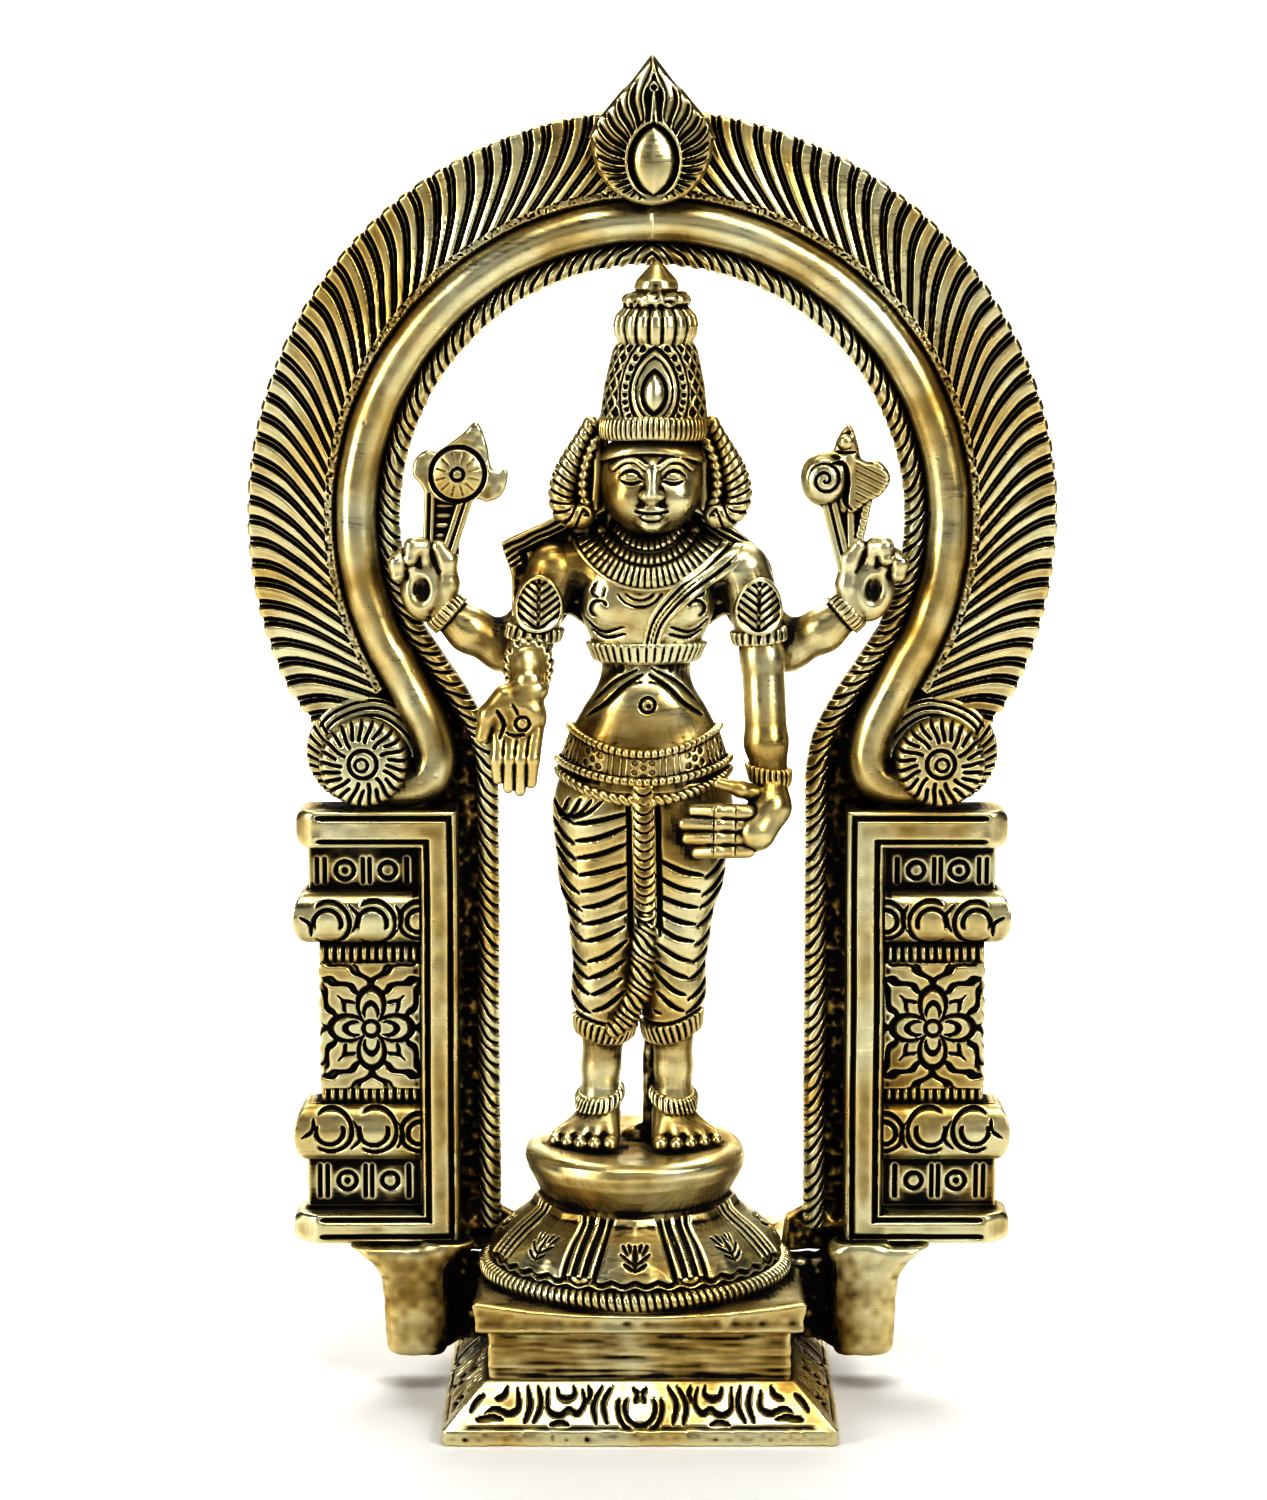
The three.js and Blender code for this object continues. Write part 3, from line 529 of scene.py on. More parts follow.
def leg_frame():
    clay, x, y, z = new_clay((39.5, -3.6, 20), (77.6, 12.2, 125.5), STEP)
    bar = np.maximum(slab(x, 40.6, 48.3), slab(z, 31.2, 124))
    top = bull_nose(x, z, 116, 124, 74.2, 2.6)
    foot = bull_nose(x, z, 31.2, 37.6, 75.6, 2.2)
    plan = np.minimum(np.minimum(bar, top), foot)
    tip = ramp(70, 75.5, x) * 2.6
    outer = np.maximum(np.maximum(41.9 - x, z - 122.6), 32.6 - z)
    inner_corner = np.maximum(47.1 - x, slab(z, 38.9, 114.8))
    line = np.abs(outer + 0.2)
    inside = np.abs(np.maximum(np.maximum(46.9 - x, z - 117.4), 36.4 - z))
    marks = hill(line, 0.6) + hill(inside, 0.6)
    marks = marks * ramp(70.6, 68.2, x) * np.where(inner_corner < -3, 0, 1)
    relief = 2.3 - tip - 1.3 * marks + 0.05 * rough(x, z, 0, 2.0)
    clay.add(-relief - y)
    clay.keep(y - BACK_Y)
    clay.keep(plan, 1.6)
    peg = np.maximum(slab(x, 47.4, 49.6), np.maximum(slab(y, -0.9, 4.9), slab(z, 20.2, 34)))
    clay.add(peg, 0.1)
    return clay


def beads(u, v, low, high, pitch, height):
    """A row of beads between two heights, along u."""
    across = zigzag(u / pitch)
    up = bulge(v - (low + high) / 2, (high - low) / 2)
    return height * (ramp(0.1, 0.6, across) * up - 0.2)


def scroll_cushion(u, v, low, high, flip):
    """Carved petals on a rolled cushion course of the pilaster."""
    mid = (low + high) / 2
    up = (v - mid) * (-1 if flip else 1)
    above = ramp(-2.6, -1.0, up)
    rings = (
        ((58.5, -0.9), 3.1, 1.0, above),
        ((58.3, -0.9), 4.7, 1.0, ramp(61.5, 59.5, u)),
        ((48.8, -0.4), 2.4, 1.1, 1),
        ((48.8, -0.4), 4.0, 1.1, ramp(54.2, 52.6, u)),
        ((67.8, -0.9), 2.9, 1.0, above),
        ((67.6, -0.9), 4.5, 1.0, ramp(70.8, 68.8, u)),
    )
    out = sum(ring_groove(u, up, centre, radius, 0.55, depth) * share for centre, radius, depth, share in rings)
    left, middle = [(63.4, 3.2), (61.2, 0.4), (62.8, -3.0)], [(53.6, 3.0), (52.2, 0.2), (53.4, -2.8)]
    return grooves(u, up, 0.5, 0.9, (left, middle, [(73.6, 0.6), (71.4, -1.0), (71.2, -3.6)]), out)


def pilaster():
    clay, x, y, z = new_clay((48.4, -3.6, 37.8), (76.2, 12.2, 116), FINE)

    def course(outer, low, high, front):
        body = np.maximum(x - outer, slab(z, low, high))
        return np.maximum(body, front - y)

    def ring_panel(low, high):
        mid = (low + high) / 2
        marks = ring_groove(x, z, (64.4, mid), 1.9, 0.5, 0.9) + dimple(x, z, (64.4, mid), 0.8, 0.5)
        marks = marks + ring_groove(x, z, (55.4, mid), 1.7, 0.5, 0.9)
        for bar in (68.6, 70.2, 60.6, 59.2, 51.4):
            marks = marks + 0.8 * hill(x - bar, 0.5)
        return marks * ramp(0, 0.8, (high - low) / 2 - np.abs(z - mid))

    def cushion(low, high, outer, flip):
        mid, half = (low + high) / 2, (high - low) / 2
        swell = bulge(z - mid, half)
        end = outer - 3.2 * (1 - swell)
        front = 2.6 - 4.3 * swell + scroll_cushion(x, z, low, high, flip)
        return np.maximum(np.maximum(x - end, slab(z, low, high)) * 0.9, front - y)

    centre = (58.9, 77.2)
    u, v = x - centre[0], z - centre[1]
    r = np.hypot(u, v)
    turn = np.arctan2(v, u)
    petal = np.cos(2 * turn) ** 2
    flower = ramp(0.3, 1.3, (2.2 + 6.6 * np.sqrt(petal) - r)) * 1.6
    flower = flower - 1.2 * hill(r - 2.2 - 3.2 * petal, 0.7) * ramp(0.15, 0.5, petal)
    flower = flower - ring_groove(x, z, centre, 1.6, 0.5, 0.9)
    fold = np.abs(turn % (math.pi / 2) - math.pi / 4)
    leafy = np.cos(15 * fold + 1.1 * r + 0.6 * np.sin(r * 1.7)) * ramp(5.2, 7.2, r)
    corner = 0.6 * ramp(-0.85, -0.3, leafy) * ramp(0.0, 0.5, r - 2.9 - 6.0 * np.sqrt(petal))
    panel = 2.3 - flower - corner * 1.7
    clay.add(course(72.0, 105.8, 115.9, 3.9 + ring_panel(107.3, 113.4)))
    clay.add(course(72.8, 37.8, 49.5, 3.7 + ring_panel(39.6, 47.4)), 0.2)
    clay.add(cushion(95.4, 106.4, 75.0, False), 0.2)
    clay.add(cushion(48.6, 60.8, 75.2, True), 0.2)
    clay.add(course(69.8, 90.4, 96.2, 3.0 - beads(x, z, 90.8, 94.8, 1.75, 1.6)), 0.2)
    clay.add(course(69.8, 60, 65, 3.0 - beads(x, z, 60.8, 64.4, 1.75, 1.6)), 0.2)
    clay.add(course(69.7 + 0.25 * np.cos(z * 1.9), 64, 91, panel), 0.2)
    clay.keep(y - BACK_Y + 0.4)
    clay.keep(48.5 - x)
    return clay


def pilaster_soot(points):
    """Painted shade: the panels sunk under the frame's ends, and the inner edge by the bar, are darkened as they
    lie in shadow.
    """
    x, _, z = np.abs(points.T)
    return 0.55 * np.maximum(ramp(105, 108, z), ramp(49.5, 47, z)) + 0.4 * ramp(51, 48.6, x)


# ---- plinth and lotus seat, in the plinth's own frame ----
def square(x, y, half, corner=0.8):
    return smax(np.abs(x) - half, np.abs(y) - half, corner)


def plinth_foot():
    clay, x, y, z = new_clay((-41.6, -41.6, -0.6), (41.6, 41.6, 12.2), STEP)
    half = lookup(z, [0, 0.8, 3.0, 3.6, 6.6, 10.0, 11.3], [39.9, 40.4, 40.3, 39.7, 36.6, 32.8, 31.4])
    u = np.where(np.abs(x) > np.abs(y), y, x)
    a = np.abs(u)
    v = (z - 3.6) * 1.08
    marks = 0.0
    for centre, radius in ((0, 3.1), (0, 4.5)):
        marks = marks + ring_groove(a, v, (centre, 3.6), radius, 0.55, 1.05) * ramp(5.6, 4.2, v)
    lines = (
        [(5.6, 7.2), (7.4, 4.2), (6.6, 0.6)],
        [(7.6, 7.2), (9.4, 4.0), (8.8, 0.6)],
        [(11.8, 7.0), (11.2, 4.4), (12.6, 2.6), (14.4, 3.2), (16.4, 2.2), (18.6, 3.4), (18.6, 7.0)],
        [(20.6, 7.2), (20.0, 4.0), (21.6, 0.8)],
        [(22.8, 7.2), (22.2, 4.0), (23.4, 0.8)],
        [(24.8, 6.8), (24.6, 3.6), (26.6, 2.6), (29.4, 3.4), (31.4, 2.6)],
        [(27.6, 1.6), (30.0, 1.9), (33.4, 1.5)],
        [(1.2, 4.4), (0.4, 5.6), (1.4, 6.8)],
        [(10.4, 7.2), (10.0, 5.6), (10.8, 4.4)],
        [(13.4, 7.2), (13.2, 5.8), (14.6, 5.0), (16.2, 5.4), (16.8, 7.0)],
        [(14.2, 0.6), (16.0, 1.0), (18.4, 0.6)],
        [(26.8, 7.2), (27.6, 5.6), (29.4, 5.0)],
        [(31.6, 5.8), (33.2, 4.6), (34.4, 2.8)],
    )
    marks = grooves(a, v, 0.62, 1.15, lines, marks)
    marks = marks + 0.5 * hill(v - 0.1, 0.4)
    marks = marks * ramp(-0.6, 0.2, v) * ramp(36.5, 33.5, a)
    notch = 0.16 * rough(x + y, z, 0, 1.1) * ramp(3.8, 3.2, z)
    clay.add((np.maximum(np.abs(x), np.abs(y)) - half) * 0.75 + marks * 0.7 + notch)
    clay.keep(square(x, y, 40.4, 2.4))
    clay.keep(slab(z, 0, 11.2))
    clay.cut(square(x, y, HOLLOW))
    return clay


def plinth_neck():
    clay, x, y, z = new_clay((-32.4, -32.4, 9.6), (32.4, 32.4, 23), BROAD)
    file_marks = 0.1 * rough((x - y) * 0.07, z, 0, 0.55) + 0.08 * rough((x - y) * 0.2, z * 1.7, 0, 0.8, 2.0)
    clay.add(square(x, y, 30.9, 1.0) + file_marks)
    clay.keep(slab(z, 10.6, 21.9))
    clay.cut(square(x, y, HOLLOW))
    return clay


def plinth_slab():
    clay, x, y, z = new_clay((-36.2, -36.2, 20.4), (36.2, 36.2, 30), BROAD)
    side = np.maximum(np.abs(x), np.abs(y))
    far = np.minimum(np.abs(x), np.abs(y))
    bowed = 0.9 * (1 - np.clip(far / 34, 0, 1) ** 2)
    half = lookup(z, [21.3, 22.0, 23.6, 26.0, 28.4], [32.8, 33.5, 33.2, 33.7, 34.2])
    clay.add((side - half - bowed * 0.3) * 0.9 + 0.1 * rough(x + y, z, 0, 1.6))
    clay.keep(square(x, y, 34.6, 2.6))
    edge = 25.3 + 2.9 * np.clip(far / 34, 0, 1) ** 2.2
    top = 25.9 + (edge - 25.9) * ramp(26, 33.6, side)
    clay.keep(smax(21.4 - z, z - top, 0.6), 0.8)
    return clay


def rope_rim():
    clay, x, y, z = new_clay((-34.4, -34.4, 24.4), (34.4, 34.4, 30.4), FINE)
    strands = 126
    r = np.hypot(x, y)
    turn = np.arctan2(y, x)
    out, up = r - 31.2, z - 27.5
    slant = np.arctan2(up, out)
    rib = zigzag(turn * strands / (2 * math.pi) + slant / (2 * math.pi))
    swell = 1.3 + 0.62 * ramp(0.05, 0.55, rib)
    clay.add(np.hypot(out, up) - swell)
    clay.add(np.maximum(slab(r, 29.8, 32.4), slab(z, 25.2, 26.9)), 0.4)
    return clay


DOME_HEIGHTS = (26, 30, 31.5, 33, 35, 37.2, 39, 40.4, 42)
DOME_RADII = (30.2, 30.2, 29.8, 28.6, 26.7, 24.2, 21.7, 20.1, 19.4)


def lotus_dome():
    clay, x, y, z = new_clay((-33, -33, 25.6), (33, 33, 42.4), FINE)
    radius = lookup(z, DOME_HEIGHTS, DOME_RADII)
    turn = np.arctan2(x, -y)
    sector = math.pi / 4
    local = np.abs((turn + sector / 2) % sector - sector / 2)
    arc_x = local * radius
    v = (z - 30.6) * 1.35
    lobes = 0.45 * np.cos(arc_x * math.pi / 2.35) + 0.5
    flank = 8.6 - 0.26 * v - arc_x
    edge = np.minimum(flank, (v - lobes) * 0.9)
    swell = ramp(-0.1, 0.9, edge) + 0.9 * ramp(0.6, 6.5, edge)
    edging = hill(edge, 0.5)
    veins = groove(arc_x, v, [(0.0, 3.4), (0.0, 9.6)], 0.6, 1.0)
    low_branches = ((0.3, 3.8), (2.3, 5.6)), ((0.3, 5.2), (2.9, 7.6))
    high_branches = ((1.5, 7.4), (2.5, 9.6)), ((0.9, 8.0), (1.2, 9.8))
    veins = grooves(arc_x, v, 0.5, 0.9, low_branches + high_branches, veins)
    leaf_x = (sector / 2 - local) * radius
    leaf = ramp(0.3, -0.3, edge) * ramp(1.2, 1.8, v)
    leaf = leaf * (1.1 * ramp(-0.3, 0.4, np.cos(leaf_x * 2.7)) - 0.3)
    hem = 0.6 * hill(v - lobes + 1.25, 0.45)
    relief = swell - edging - veins * ramp(0.3, 0.9, edge) + leaf + hem
    clay.add((np.hypot(x, y) - radius) * 0.72 - relief * 0.72)
    clay.keep(slab(z, 26.2, 42))
    return clay


def foot_drum():
    clay, x, y, z = new_clay((-25, -25, 40), (25, 25, 55), BROAD)
    turn = np.arctan2(y, x)
    r = np.hypot(x, y)
    heights = (40.8, 43, 45.4, 48.2, 50.6, 52.2, 53.4, 54.4)
    radius = lookup(z, heights, (19.4, 19.8, 21.0, 22.5, 23.1, 22.8, 21.8, 20))
    shape = np.maximum((r - radius) * 0.8, slab(z, heights[0], heights[-1]))
    clay.add(shape + 0.12 * np.sin(3 * turn + z * 0.5) + 0.05 * np.sin(11 * turn))
    clay.keep(z - 53.6 + 0.7 * ramp(19, 12, r), 1.6)
    return clay


def arch_boss(shift):
    clay, x, y, z = new_clay((29, -8, 2), (64, 13, 32.6), STEP)
    heights = [5, 12, 20, 25, 28, 30.4, 31.4]
    outer = lookup(z, heights, [53.4, 53.9, 54.0, 54.6, 56.4, 59.6, 62.4])
    inner = lookup(z, heights, [40.6, 40.4, 40.2, 40.0, 39.8, 39.6, 39.4])
    block = smax(np.maximum(inner - x, x - outer) * 0.8, slab(y, -6.2, 10), 3.0)
    block = smax(block, slab(z, 7.4, 31.4), 2.2)
    clay.add(block + 0.3 * rough(x, z, y, 7.0) + 0.08 * rough(x, z, y, 1.6, 2.0))
    web = smax(slab(x, 30.5, 46), smax(slab(y, 1.6, 8.8), slab(z, 9.6, 26.8), 1.4), 1.4)
    clay.add(web + 0.25 * rough(x, z, y, 1.5), 3.4)
    braze = ellipsoid(x, y, z, (43.4 + shift, -1.6, 31.6), (5.2, 4.2, 3.6))
    clay.add(braze + 0.15 * rough(x, z, y, 1.7), 3.0)
    clay.keep(z - 32.2)
    return clay


def boss_soot(points):
    """Painted shade: darker towards the plinth, where the boss's inner side and web lie in shadow, and towards
    the bottom.
    """
    inward = ramp(47.5, 41.5, np.abs(points[:, 0] - PLINTH_X))
    return 0.9 * inward + 0.5 * ramp(11, 7.6, points[:, 2])


def fixing_stud():
    clay, x, y, z = new_clay((-9, -9, 11), (9, 9, 38))
    r = np.hypot(x, y)
    thread = 0.16 * np.cos(2 * math.pi * z / 1.25 + np.arctan2(y, x))
    clay.add(np.maximum(r - 2.85 + thread, slab(z, 12, 37)))
    return clay


def fixing_washer():
    clay, x, y, z = new_clay((-9, -9, 19), (9, 9, 22.4))
    clay.add(smax(slab(np.hypot(x, y), 3.3, 8.0), slab(z, 20.0, 21.6), 0.4))
    return clay


def fixing_nut():
    clay, x, y, z = new_clay((-7, -7, 14), (7, 7, 20.8))
    turn = np.arctan2(y, x)
    flat = np.hypot(x, y) * np.cos((turn % (math.pi / 3)) - math.pi / 6)
    clay.add(smax(flat - 5.0, slab(z, 15.0, 20.0), 0.4))
    clay.keep(np.hypot(x, y) - 5.7, 0.6)
    clay.cut(np.hypot(x, y) - 3.1)
    return clay


# ---- figure, in its own upright frame; lean() sets it on the seat ----
def along_z(z, knots):
    """Radius at each height from a smooth line through (z, radius) knots."""
    heights, radii = spline(knots, 6).T
    return lookup(z, heights, radii)


TORSO = (
    (112, 17.6), (120, 18.2), (126, 17.8), (131, 17.1), (135, 16.8), (141, 14.9), (146, 12.4),
    (149, 10.5), (152, 9.3), (155, 9.3), (158, 10.4), (161, 12.0), (165, 13.6), (169, 14.4),
    (173, 14.8), (177, 13.2), (180, 9.0), (182, 6.2), (184, 5.4), (190, 5.0),
)
LEG = (
    (8.6, 0, 124, 9.7), (8.2, -0.6, 111, 8.7), (7.2, -1.0, 98, 7.0),
    (7.1, -0.5, 86, 6.6), (6.9, 0, 79, 5.8), (6.8, 0.2, 77, 5.3),
)


def torso_field(x, y, z):
    a = np.abs(x)
    d = (np.hypot(x, y / 0.6) - along_z(z, TORSO)) * 0.72
    d = smin(d, ellipsoid(a, y, z, (6.7, -4.6, 167.6), (6.2, 4.2, 5.6)), 1.6)
    d = smin(d, ellipsoid(x, y, z, (0, -3.6, 145.6), (9.6, 5.6, 8.0)), 2.4)
    d = smin(d, capsule(a, y, z, (0, 1, 177.5), (18.4, 0.4, 174.4), 4.4, 5.0), 2.2)
    return d


def dhoti_field(x, y, z):
    a = np.abs(x)
    legs = chain(a, y, z, LEG, 2.0)
    legs = smax(legs, 74.0 - z, 0.6)
    hips = ellipsoid(x, y, z, (0, 0.2, 124), (18.2, 10.6, 24))
    hips = smax(hips, 99 - z, 5)
    return smin(legs, hips, 2.5)


def front(y, at=-1.0):
    return ramp(at + 0.8, at - 0.8, y)


def torso():
    clay, x, y, z = new_clay((-23, -12, 128), (23, 9, 189))
    clay.add(torso_field(x, y, z))
    clay.keep(129 - z)
    marks = 0.0
    for s in (-1, 1):
        u = s * x
        marks = marks + ring_groove(u, z, (9.9, 167.0), 1.7, 0.45, 0.6) * ramp(-1.6, 0, u - 9.9 + (z - 167))
        marks = marks + groove(u, z, [(12.6, 164.6), (9.2, 162.0), (4.6, 163.2)], 0.5, 0.55)
        marks = marks + groove(u, z, [(11.4, 162.4), (8.4, 160.8), (4.4, 161.6)], 0.5, 0.5)
        marks = marks + groove(u, z, [(0.4, 153.4), (4.6, 150.6), (8.0, 147.2), (12.0, 144.2)], 0.6, 0.9)
        marks = marks + groove(u, z, [(1.2, 154.4), (6.2, 151.6), (10.2, 147.8), (13.4, 145.6)], 0.45, 0.6)
        crease = [(10.4, 172.6), (11.4, 170.2), (9.4, 169.4), (8.6, 171.4)]
        marks = grooves(u, z, 0.4, 0.4, (crease, [(0.6, 151.8), (3.0, 151.4), (5.0, 150.0)]), marks)
    for radius in (2.2, 3.6, 5.0):
        marks = marks + ring_groove(x, z, (-1.6, 172.4), radius, 0.35, 0.4) * ramp(170.6, 169.4, z)
    marks = marks + ring_groove(x, z, (0.6, 147.2), 1.5, 0.45, 0.7) + dimple(x, z, (0.8, 147.0), 0.7, 0.5)
    clay.dig(marks * front(y, -3))
    return clay


SASH_LINE = spline([(18.6, 179.4), (13.4, 174.8), (7.4, 170.6), (2.4, 164.6), (0.6, 158.4)])


def sash():
    clay, x, y, z = new_clay((-5, -12.4, 157), (21, 0, 182))
    d, s, side, length = near_line(x, z, SASH_LINE)
    wide = 3.0 - 1.2 * s / length
    n = d * side / wide
    marks = sum(hill(n - k, 0.16) for k in (-0.45, 0.4)) * 0.8
    marks = marks + hill(n + 0.02, 0.1) * 0.5 * ramp(0.25, 0.5, s / length)
    pad = torso_field(x, y, z) - 0.75
    clay.add(pad)
    clay.dig(marks)
    clay.keep((d - wide) * 0.9, 0.5)
    clay.keep(y + 1.0)
    clay.cut(torso_field(x, y, z) + 0.8)
    return clay


def necklace():
    clay, x, y, z = new_clay((-19, -12.6, 169), (19, 2, 187), FINE)
    neck_z = 188.4
    r = np.hypot(x, z - neck_z)
    turn = np.degrees(np.arctan2(x, neck_z - z))
    body = torso_field(x, y, z)
    rib = zigzag(turn / 4.9 + 0.5)
    collar = 1.5 * bulge(r - 14.9, 2.2) * (0.55 + 0.45 * ramp(0.1, 0.6, rib))
    rib2 = zigzag(turn / 6.4)
    string = 1.2 * bulge(r - 11.4, 0.95) * (0.35 + 0.65 * ramp(0.1, 0.7, rib2))
    rib3 = zigzag(turn / 8.2)
    choker = bulge(r - 8.6, 0.9) * (0.35 + 0.65 * ramp(0.1, 0.7, rib3))
    rim = 0.8 * bulge(r - 17.4, 0.55)
    clay.add(body - np.maximum.reduce([collar, string, choker, rim]) * 0.9)
    clay.keep(slab(r, 7.6, 17.9) + 0 * y, 0.3)
    clay.keep(y - 0.5)
    clay.cut(body + 1.0)
    return clay


def chest_band():
    clay, x, y, z = new_clay((-14, -12, 153), (14, 9, 161.5), FINE)
    body = torso_field(x, y, z)
    turn = np.arctan2(x, -y / 0.6)
    rib = zigzag(turn * 9.6 / 1.45)
    up = np.abs(z - 157.4)
    swell = 0.9 + 0.35 * ramp(0.15, 0.5, rib) * ramp(2.1, 1.5, up)
    clay.add(body - swell)
    clay.keep(up - 2.3, 0.8)
    clay.cut(body + 1.0)
    return clay


def belt_edge(x, low):
    return 130.6 + 2.4 * (x / 15) ** 2 if low else 138.2 + 3.6 * (x / 14) ** 2


def waist_belt():
    clay, x, y, z = new_clay((-20.6, -14, 126), (20.6, 13, 146), FINE)
    body = smin(torso_field(x, y, z), dhoti_field(x, y, z), 1.5)
    low, high = belt_edge(x, True), belt_edge(x, False)
    turn = np.arctan2(x, -y / 0.6)
    s = turn * 15.5
    rib = ramp(0.1, 0.6, zigzag(s / 1.35))
    rows = 0.0
    for line in (low + 0.9, high - 0.9):
        rows = np.maximum(rows, bulge(z - line, 0.95) * (0.5 + 0.5 * rib))
    v = (z - low - 1.9) / np.maximum(high - low - 3.8, 1)
    cell = (s + 5.2) % 10.4 - 5.2
    marks = sum(hill(np.abs(cell) - k, 0.42) for k in (3.8, 4.9))
    for du, dv in ((0, 0.5), (-1.6, 0.25), (1.6, 0.25), (-1.6, 0.75), (1.6, 0.75), (0, 0.95), (0, 0.05)):
        marks = marks + 1.3 * np.clip(1 - (((cell - du) / 0.62) ** 2 + ((v - dv) * 4.2 / 0.62) ** 2), 0, 1)
    marks = marks * ramp(-0.05, 0.05, v) * ramp(1.05, 0.95, v)
    clay.add(body - 0.35 - rows * 0.95 + marks)
    clay.keep(smax(low - z, z - high, 0.6), 0.5)
    cord_z = 127.6 + 3.4 * (x / 15) ** 2
    twist = ramp(0.1, 0.6, zigzag((s + 0.5 * z) / 1.5))
    clay.add(np.hypot(z - cord_z, (body + 0.1) * 1.1) - 0.95 - 0.25 * twist, 0.2)
    clay.keep(body - 3)
    clay.cut(body + 1.2)
    return clay


def pleat_x(z):
    """The middle of the pleat, which drifts sideways as it falls."""
    return lookup(z, [99, 130], [1.2, 0.0])


def dhoti():
    clay, x, y, z = new_clay((-20.6, -13.4, 73), (20.6, 13.4, 132))
    body = dhoti_field(x, y, z)
    clay.add(body)
    a = np.abs(x)
    marks = 0.0
    for i in range(13):
        top = 125.6 - 3.55 * i
        sag = 3.3 if i < 8 else 4.2
        outer = 14.6 - 0.42 * i
        for s in (-1, 1):
            if s > 0 and i < 3:
                continue
            u = s * x
            lift = 0.5 * math.sin(i * 1.9 + s) + 0.3 * (s > 0)
            inner = 2.6 + 0.12 * max(0, i - 6) + 0.4 * math.sin(i * 2.3 + 2 * s)
            low = top - sag
            fall = [(inner, top + lift), ((inner + outer) * 0.52, top - sag * 0.66), (outer - 0.4, low + 0.1)]
            marks = marks + groove(u, z, fall, 0.6, 1.25)
            rise = [(outer - 0.3, low - 0.2), (outer + 2.0, low + 1.3), (outer + 4.4, low + 4.6)]
            marks = marks + groove(u, z + lift, rise, 0.6, 1.05)
    for k in range(4):
        sweep = [(8.0 + 2.4 * k, 127.8), (11.4 + 1.8 * k, 124.9 - 0.4 * k), (17.2, 122.8 + 0.9 * k)]
        marks = marks + groove(-x, z, sweep, 0.5, 0.8)
    marks = np.minimum(marks, 1.4) * ramp(1.9, 2.6, a) * ramp(81.6, 82.6, z)
    gutter = hill(np.abs(x - pleat_x(z)) - 3.0, 0.55) * 1.5 * ramp(98, 101, z) * ramp(132, 129, z)
    marks = np.maximum(marks, gutter)
    droop = 78.2 - 0.9 * np.cos((a - 5.4) / 7.0 * 1.9) * 1.4 + 0.12 * (a - 5) * (x > 0)
    hem = z - droop
    rib = zigzag(np.arctan2(a - 7.1, -y) * 6.4 / 1.45 + 0.2 * hem)
    band = ramp(2.3, 1.7, np.abs(hem))
    hem_marks = band * (1 - ramp(0.1, 0.55, rib)) * 0.8 + 0.8 * hill(hem - 2.7, 0.45)
    clay.dig(marks * front(y, -1.0) + hem_marks - 0.45 * band)
    clay.dig(0.35 * np.clip(np.cos(z * 1.65 + a * 0.25), 0, 1) ** 6 * ramp(2, 4, y) * ramp(83, 85, z))
    clay.keep(z - 131)
    clay.keep(droop - 2.3 - z, 0.6)
    return clay


def dhoti_pleat():
    clay, x, y, z = new_clay((-9, -14.6, 75), (6, 2, 132), FINE)
    body = dhoti_field(x, y, z)
    n = x - pleat_x(z)
    fold = ((z - 0.32 * n**2) / 1.95) % 1
    step = ramp(0.0, 0.3, fold) * (1.5 - 0.7 * fold)
    strip = smax(np.abs(n) - 2.2, slab(z, 100.4, 131), 0.6)
    face = body - 0.2 - 1.15 * step
    clay.add(smax(face, strip, 0.4))
    fall = [(1.3, -6.6, 99.6, 2.3), (0.9, -6.4, 94, 2.4), (0.0, -6.4, 87, 2.4)]
    rope = chain(x, y, z, [*fall, (-2.4, -6.4, 81.2, 2.2), (-5.2, -6.0, 78.4, 1.8)], 1.0)
    twist = zigzag((z + x * 0.9 + 0.4 * np.sin(z)) / 1.9)
    clay.add(rope + 0.4 - 0.6 * ramp(0.1, 0.6, twist) + 0.25 * rough(x, z, y, 1.2), 0.4)
    clay.cut(body + 1.5)
    return clay


def foot_field(x, y, z):
    ankle = [(7.6, 1.2, 56, 4.0), (7.7, 1.3, 62, 3.9), (7.6, 1.2, 69, 3.9), (7.2, 0.8, 77.5, 4.5)]
    d = chain(x, y, z, ankle, 1.5)
    d = smin(d, ellipsoid(x, y, z, (7.6, 3.2, 55.4), (3.7, 3.2, 3.4)), 1.5)
    ground = [(5.3, -7.4, 1.7), (8.5, -7.8, 1.5), (11.5, -7.1, 1.42), (14.3, -5.8, 1.35), (16.9, -4.0, 1.3)]
    for i, (tx, ty, r) in enumerate(ground):
        start = (6.4 + 0.85 * i, -0.6 + 0.3 * i, 59.0 - 0.35 * i)
        d = smin(d, capsule(x, y, z, start, (tx * 0.97, ty * 0.74, 55.0), 3.2, r * 1.12), 1.1)
        d = smin(d, ellipsoid(x, y, z, (tx, ty, 54.5), (r * 1.05, r * 1.35, r * 1.05)), 0.25)
    return d


def foot():
    clay, x, y, z = new_clay((2, -12, 52.4), (21, 7.6, 78))
    clay.add(foot_field(x, y, z))
    clay.keep(53.1 - z)
    return clay


def anklet():
    clay, x, y, z = new_clay((2.0, -9, 57), (18, 7, 68), FINE)
    skin = foot_field(x, y, z)
    up = z - 62.6 - 0.3 * y + 0.16 * (x - 8.0)
    rib = zigzag(np.arctan2(y - 0.4, x - 8.8) * 5.2 / 1.3 + 0.25 * up)
    swell = bulge(up, 1.7)
    clay.add(skin - swell * (0.65 + 0.5 * ramp(0.1, 0.6, rib)))
    clay.keep(np.abs(up) - 1.5, 0.4)
    clay.cut(skin + 0.9)
    return clay


HEAD_AT = (0.5, -1.5, 193.4)


def head_field(x, y, z):
    d = ellipsoid(x, y, z, HEAD_AT, (11.0, 9.4, 11.4))
    return smin(d, ellipsoid(x, y, z, (0.5, -3.4, 188.8), (8.0, 6.9, 6.2)), 2.5)


